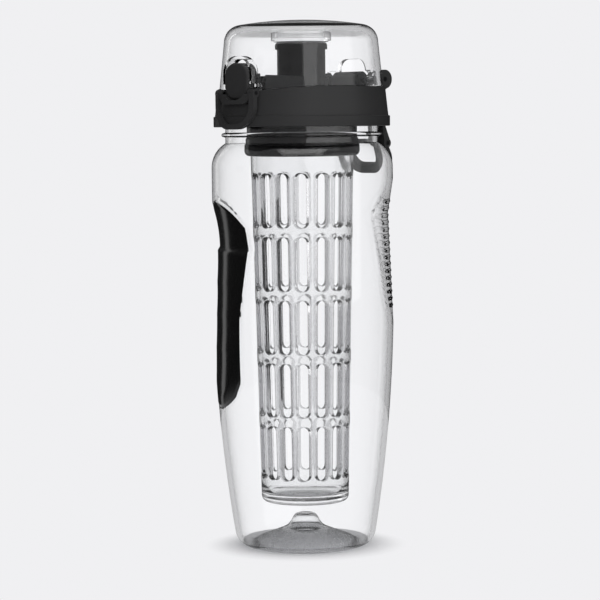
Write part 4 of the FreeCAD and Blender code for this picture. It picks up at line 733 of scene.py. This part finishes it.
# The latch spring is a coil of drawn steel wire between its seat in the cap and the button.
# It shortens by the button's travel as the button goes in.
steel = moulded("drawn steel", (0.5, 0.5, 0.5), (0.6, 0.6, 0.6), (0.25, 0.35),
                60, 900, 0.005, Metallic=1.0)
spring = node_copy("latch_spring", "latch_spring_wire")
dressed(spring, "cap", "steel", steel, "latch_spring")
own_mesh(spring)

# The latch button is satin black plastic, moulded with the wings that hold the dome's catches.
# It slides in the cap's bezel against the spring.
button = node_copy("latch_button", "push_button")
dressed(button, "button", "black_matte", black_satin, "latch_button")

# The safety bail is a U of satin black plastic, clipped on its two pins. It hangs round the
# button's foot and swings up over the dome's lip to lock it.
bail = node_copy("lock_bail", "safety_bail")
dressed(bail, "bail", "black_matte", black_satin, "lock_bail")

# The carry loop is a strap ring of satin black plastic. It hangs on its pin between the cap's
# hangers, below the hinge.
loop = node_copy("carry_loop", "strap_loop")
dressed(loop, "loop", "black_matte", black_satin, "carry_loop")

# The dome is a clear moulded cover of the bottle's plastic. It turns on the hinge pin, and its
# catches go behind the button's wings.
dome = node_copy("dome_lid", "dome_cover")
dressed(dome, "lid", "clear_plastic", clear_bottle, "dome_lid")

# The floor is a disc of pale studio paper. It takes the bottle's soft shadow close to the foot and
# fades into the backdrop round it. Rays that pass the clear walls see it at THROUGH, rays that are
# mirrored in them at INNER, and those off a piece behind one clear wall at BEHIND_WALL.
BACKDROP = (0.871, 0.871, 0.887)
THROUGH, INNER, BEHIND_WALL = 1.12, 0.66, 0.05
WALL_PASSES = 4
FLOOR_RADIUS, SHADOW_FULL, SHADOW_END, SHADOW_GLOW = 0.45, 0.029, 0.052, 0.1
bpy.ops.object.select_all(action="DESELECT")
bpy.ops.mesh.primitive_circle_add(vertices=96, radius=FLOOR_RADIUS, fill_type="NGON", location=(0, 0, 0))
ground = bpy.context.object
ground.name = "studio_floor"
paper = bpy.data.materials.new("pale studio paper")
paper.use_nodes = True
nodes, links = paper.node_tree.nodes, paper.node_tree.links
nodes.remove(nodes["Principled BSDF"])


def reckoned(tree, operation, *terms):
    """The result of a Math node in a tree; its terms are other nodes' outputs or plain numbers."""
    reckoning = tree.nodes.new("ShaderNodeMath")
    reckoning.operation = operation
    for term, socket in zip(terms, reckoning.inputs):
        if isinstance(term, float):
            socket.default_value = term
        else:
            tree.links.new(term, socket)
    return reckoning.outputs[0]


def happened(tree, path, depth):
    """One where a ray has had a bounce of a kind, zero elsewhere."""
    return reckoned(tree, "GREATER_THAN", path.outputs[depth], 0.5)


def behind_wall(tree, path):
    """One where a ray has gone in and out through one clear wall, zero elsewhere."""
    return reckoned(tree, "COMPARE", path.outputs["Transmission Depth"], float(WALL_PASSES), 0.5)


def blended(tree, share, plain, other):
    """A Mix node's value between two, each another node's output or a plain number."""
    mix = tree.nodes.new("ShaderNodeMix")
    tree.links.new(share, mix.inputs["Factor"])
    for term, socket in ((plain, mix.inputs["A"]), (other, mix.inputs["B"])):
        if isinstance(term, float):
            socket.default_value = term
        else:
            tree.links.new(term, socket)
    return mix.outputs["Result"]


place = nodes.new("ShaderNodeTexCoord")
distance = nodes.new("ShaderNodeVectorMath")
distance.operation = "LENGTH"
links.new(place.outputs["Object"], distance.inputs[0])
fade = nodes.new("ShaderNodeMapRange")
fade.interpolation_type = "SMOOTHSTEP"
fade.inputs["From Min"].default_value = SHADOW_FULL
fade.inputs["From Max"].default_value = SHADOW_END
fade.inputs["To Min"].default_value = SHADOW_GLOW
fade.inputs["To Max"].default_value = 1.0
links.new(distance.outputs["Value"], fade.inputs["Value"])
path = nodes.new("ShaderNodeLightPath")
tree = paper.node_tree
through = blended(tree, path.outputs["Is Transmission Ray"], 1.0, THROUGH)
mirrored = blended(tree, behind_wall(tree, path), INNER, BEHIND_WALL)
strength = blended(tree, happened(tree, path, "Glossy Depth"), through, mirrored)
lit = nodes.new("ShaderNodeBsdfDiffuse")
lit.inputs["Color"].default_value = (*BACKDROP, 1)
glow = nodes.new("ShaderNodeEmission")
glow.inputs["Color"].default_value = (*BACKDROP, 1)
links.new(strength, glow.inputs["Strength"])
bounced = reckoned(tree, "MAXIMUM", path.outputs["Is Glossy Ray"], path.outputs["Is Transmission Ray"])
seen = reckoned(tree, "MAXIMUM", path.outputs["Is Camera Ray"], bounced)
mixed = nodes.new("ShaderNodeMixShader")
links.new(reckoned(tree, "MULTIPLY", seen, fade.outputs["Result"]), mixed.inputs[0])
links.new(lit.outputs[0], mixed.inputs[1])
links.new(glow.outputs[0], mixed.inputs[2])
links.new(mixed.outputs[0], nodes["Material Output"].inputs["Surface"])
ground.data.materials.append(paper)

# The backdrop is a pale studio, the same all round for what is seen straight or through the clear
# walls. What is mirrored sees it dim, with a brighter ceiling, and what is lit by it sees the fill.
FILL = 0.3
CEILING_START, CEILING_DARK, CEILING_PALE = 0.8, 0.02, 0.2
world = bpy.data.worlds.new("pale studio")
bpy.context.scene.world = world
world.use_nodes = True
tree = world.node_tree
nodes, links = tree.nodes, tree.links
nodes.clear()


def backdrop(strength):
    """The pale studio at one strength."""
    light = nodes.new("ShaderNodeBackground")
    light.inputs["Color"].default_value = (*BACKDROP, 1)
    light.inputs["Strength"].default_value = strength
    return light


def chosen(ray, light, other):
    """One light for rays of a kind and another for the rest."""
    choice = nodes.new("ShaderNodeMixShader")
    links.new(ray, choice.inputs[0])
    links.new(other.outputs[0], choice.inputs[1])
    links.new(light.outputs[0], choice.inputs[2])
    return choice


path = nodes.new("ShaderNodeLightPath")
way = nodes.new("ShaderNodeTexCoord")
parts = nodes.new("ShaderNodeSeparateXYZ")
links.new(way.outputs["Generated"], parts.inputs[0])
overhead = nodes.new("ShaderNodeMapRange")
overhead.inputs["From Max"].default_value = CEILING_START
overhead.inputs["To Min"].default_value = CEILING_DARK
overhead.inputs["To Max"].default_value = CEILING_PALE
links.new(parts.outputs["Z"], overhead.inputs["Value"])
mirrored = backdrop(1.0)
links.new(overhead.outputs["Result"], mirrored.inputs["Strength"])
fill = backdrop(FILL)
inside = chosen(behind_wall(tree, path), backdrop(BEHIND_WALL), backdrop(INNER))
seen_through = chosen(happened(tree, path, "Glossy Depth"), inside, backdrop(THROUGH))
shown = chosen(path.outputs["Is Glossy Ray"], mirrored, fill)
shown = chosen(path.outputs["Is Transmission Ray"], seen_through, shown)
shown = chosen(happened(tree, path, "Diffuse Depth"), fill, shown)
shown = chosen(path.outputs["Is Camera Ray"], backdrop(1.0), shown)
result = nodes.new("ShaderNodeOutputWorld")
links.new(shown.outputs[0], result.inputs["Surface"])

# The lamps are plain soft boxes: a large one to the camera's right, a strip behind on the left, a
# weak one overhead and a front fill that lights the black pieces and isn't mirrored in them.
VIEW_TURN = math.radians(47)
LAMP_AIM = Vector((0, 0, 0.14))


def soft_box(name, turn, distance, height, wide, tall, power):
    """An area lamp at a turn in degrees from the camera's side, aimed at the bottle's middle."""
    lamp = bpy.data.lights.new(name, "AREA")
    lamp.shape = "RECTANGLE"
    lamp.size, lamp.size_y, lamp.energy = wide, tall, power
    holder = bpy.data.objects.new(name, lamp)
    bpy.context.scene.collection.objects.link(holder)
    angle = VIEW_TURN + math.radians(turn)
    holder.location = Vector((math.sin(angle) * distance, -math.cos(angle) * distance, height))
    holder.rotation_euler = (LAMP_AIM - holder.location).to_track_quat("-Z", "Y").to_euler()
    return holder


soft_box("right softbox", turn=43, distance=1.6, height=0.75, wide=2.64, tall=1.7, power=11)
soft_box("left softbox", turn=-141, distance=1.6, height=0.3, wide=0.24, tall=1.4, power=0.5)
soft_box("top softbox", turn=0, distance=0.35, height=1.3, wide=0.9, tall=0.9, power=4)
front = soft_box("front fill", turn=-6, distance=1.6, height=0.45, wide=1.2, tall=1.0, power=12)
front.visible_glossy = False
front.visible_transmission = False

# The camera stands where the photograph was taken from, a little above the bottle's middle, with a
# long lens.
CAMERA_DISTANCE, CAMERA_HEIGHT, AIM_HEIGHT = 1.2, 0.208, 0.1235
CAMERA_ROLL, CAMERA_SHIFT = math.radians(-0.55), -0.0058
lens = bpy.data.cameras.new("photo camera")
lens.sensor_width = 36
lens.lens = 144
lens.shift_x = CAMERA_SHIFT
camera = bpy.data.objects.new("photo camera", lens)
bpy.context.scene.collection.objects.link(camera)
out = Vector((math.sin(VIEW_TURN), -math.cos(VIEW_TURN), 0))
camera.location = out * CAMERA_DISTANCE + Vector((0, 0, CAMERA_HEIGHT))
aim = Vector((0, 0, AIM_HEIGHT)) - camera.location
camera.rotation_euler = aim.to_track_quat("-Z", "Y").to_euler()
camera.rotation_euler.rotate_axis("Z", CAMERA_ROLL)
bpy.context.scene.camera = camera
bpy.context.scene.view_settings.view_transform = "Standard"
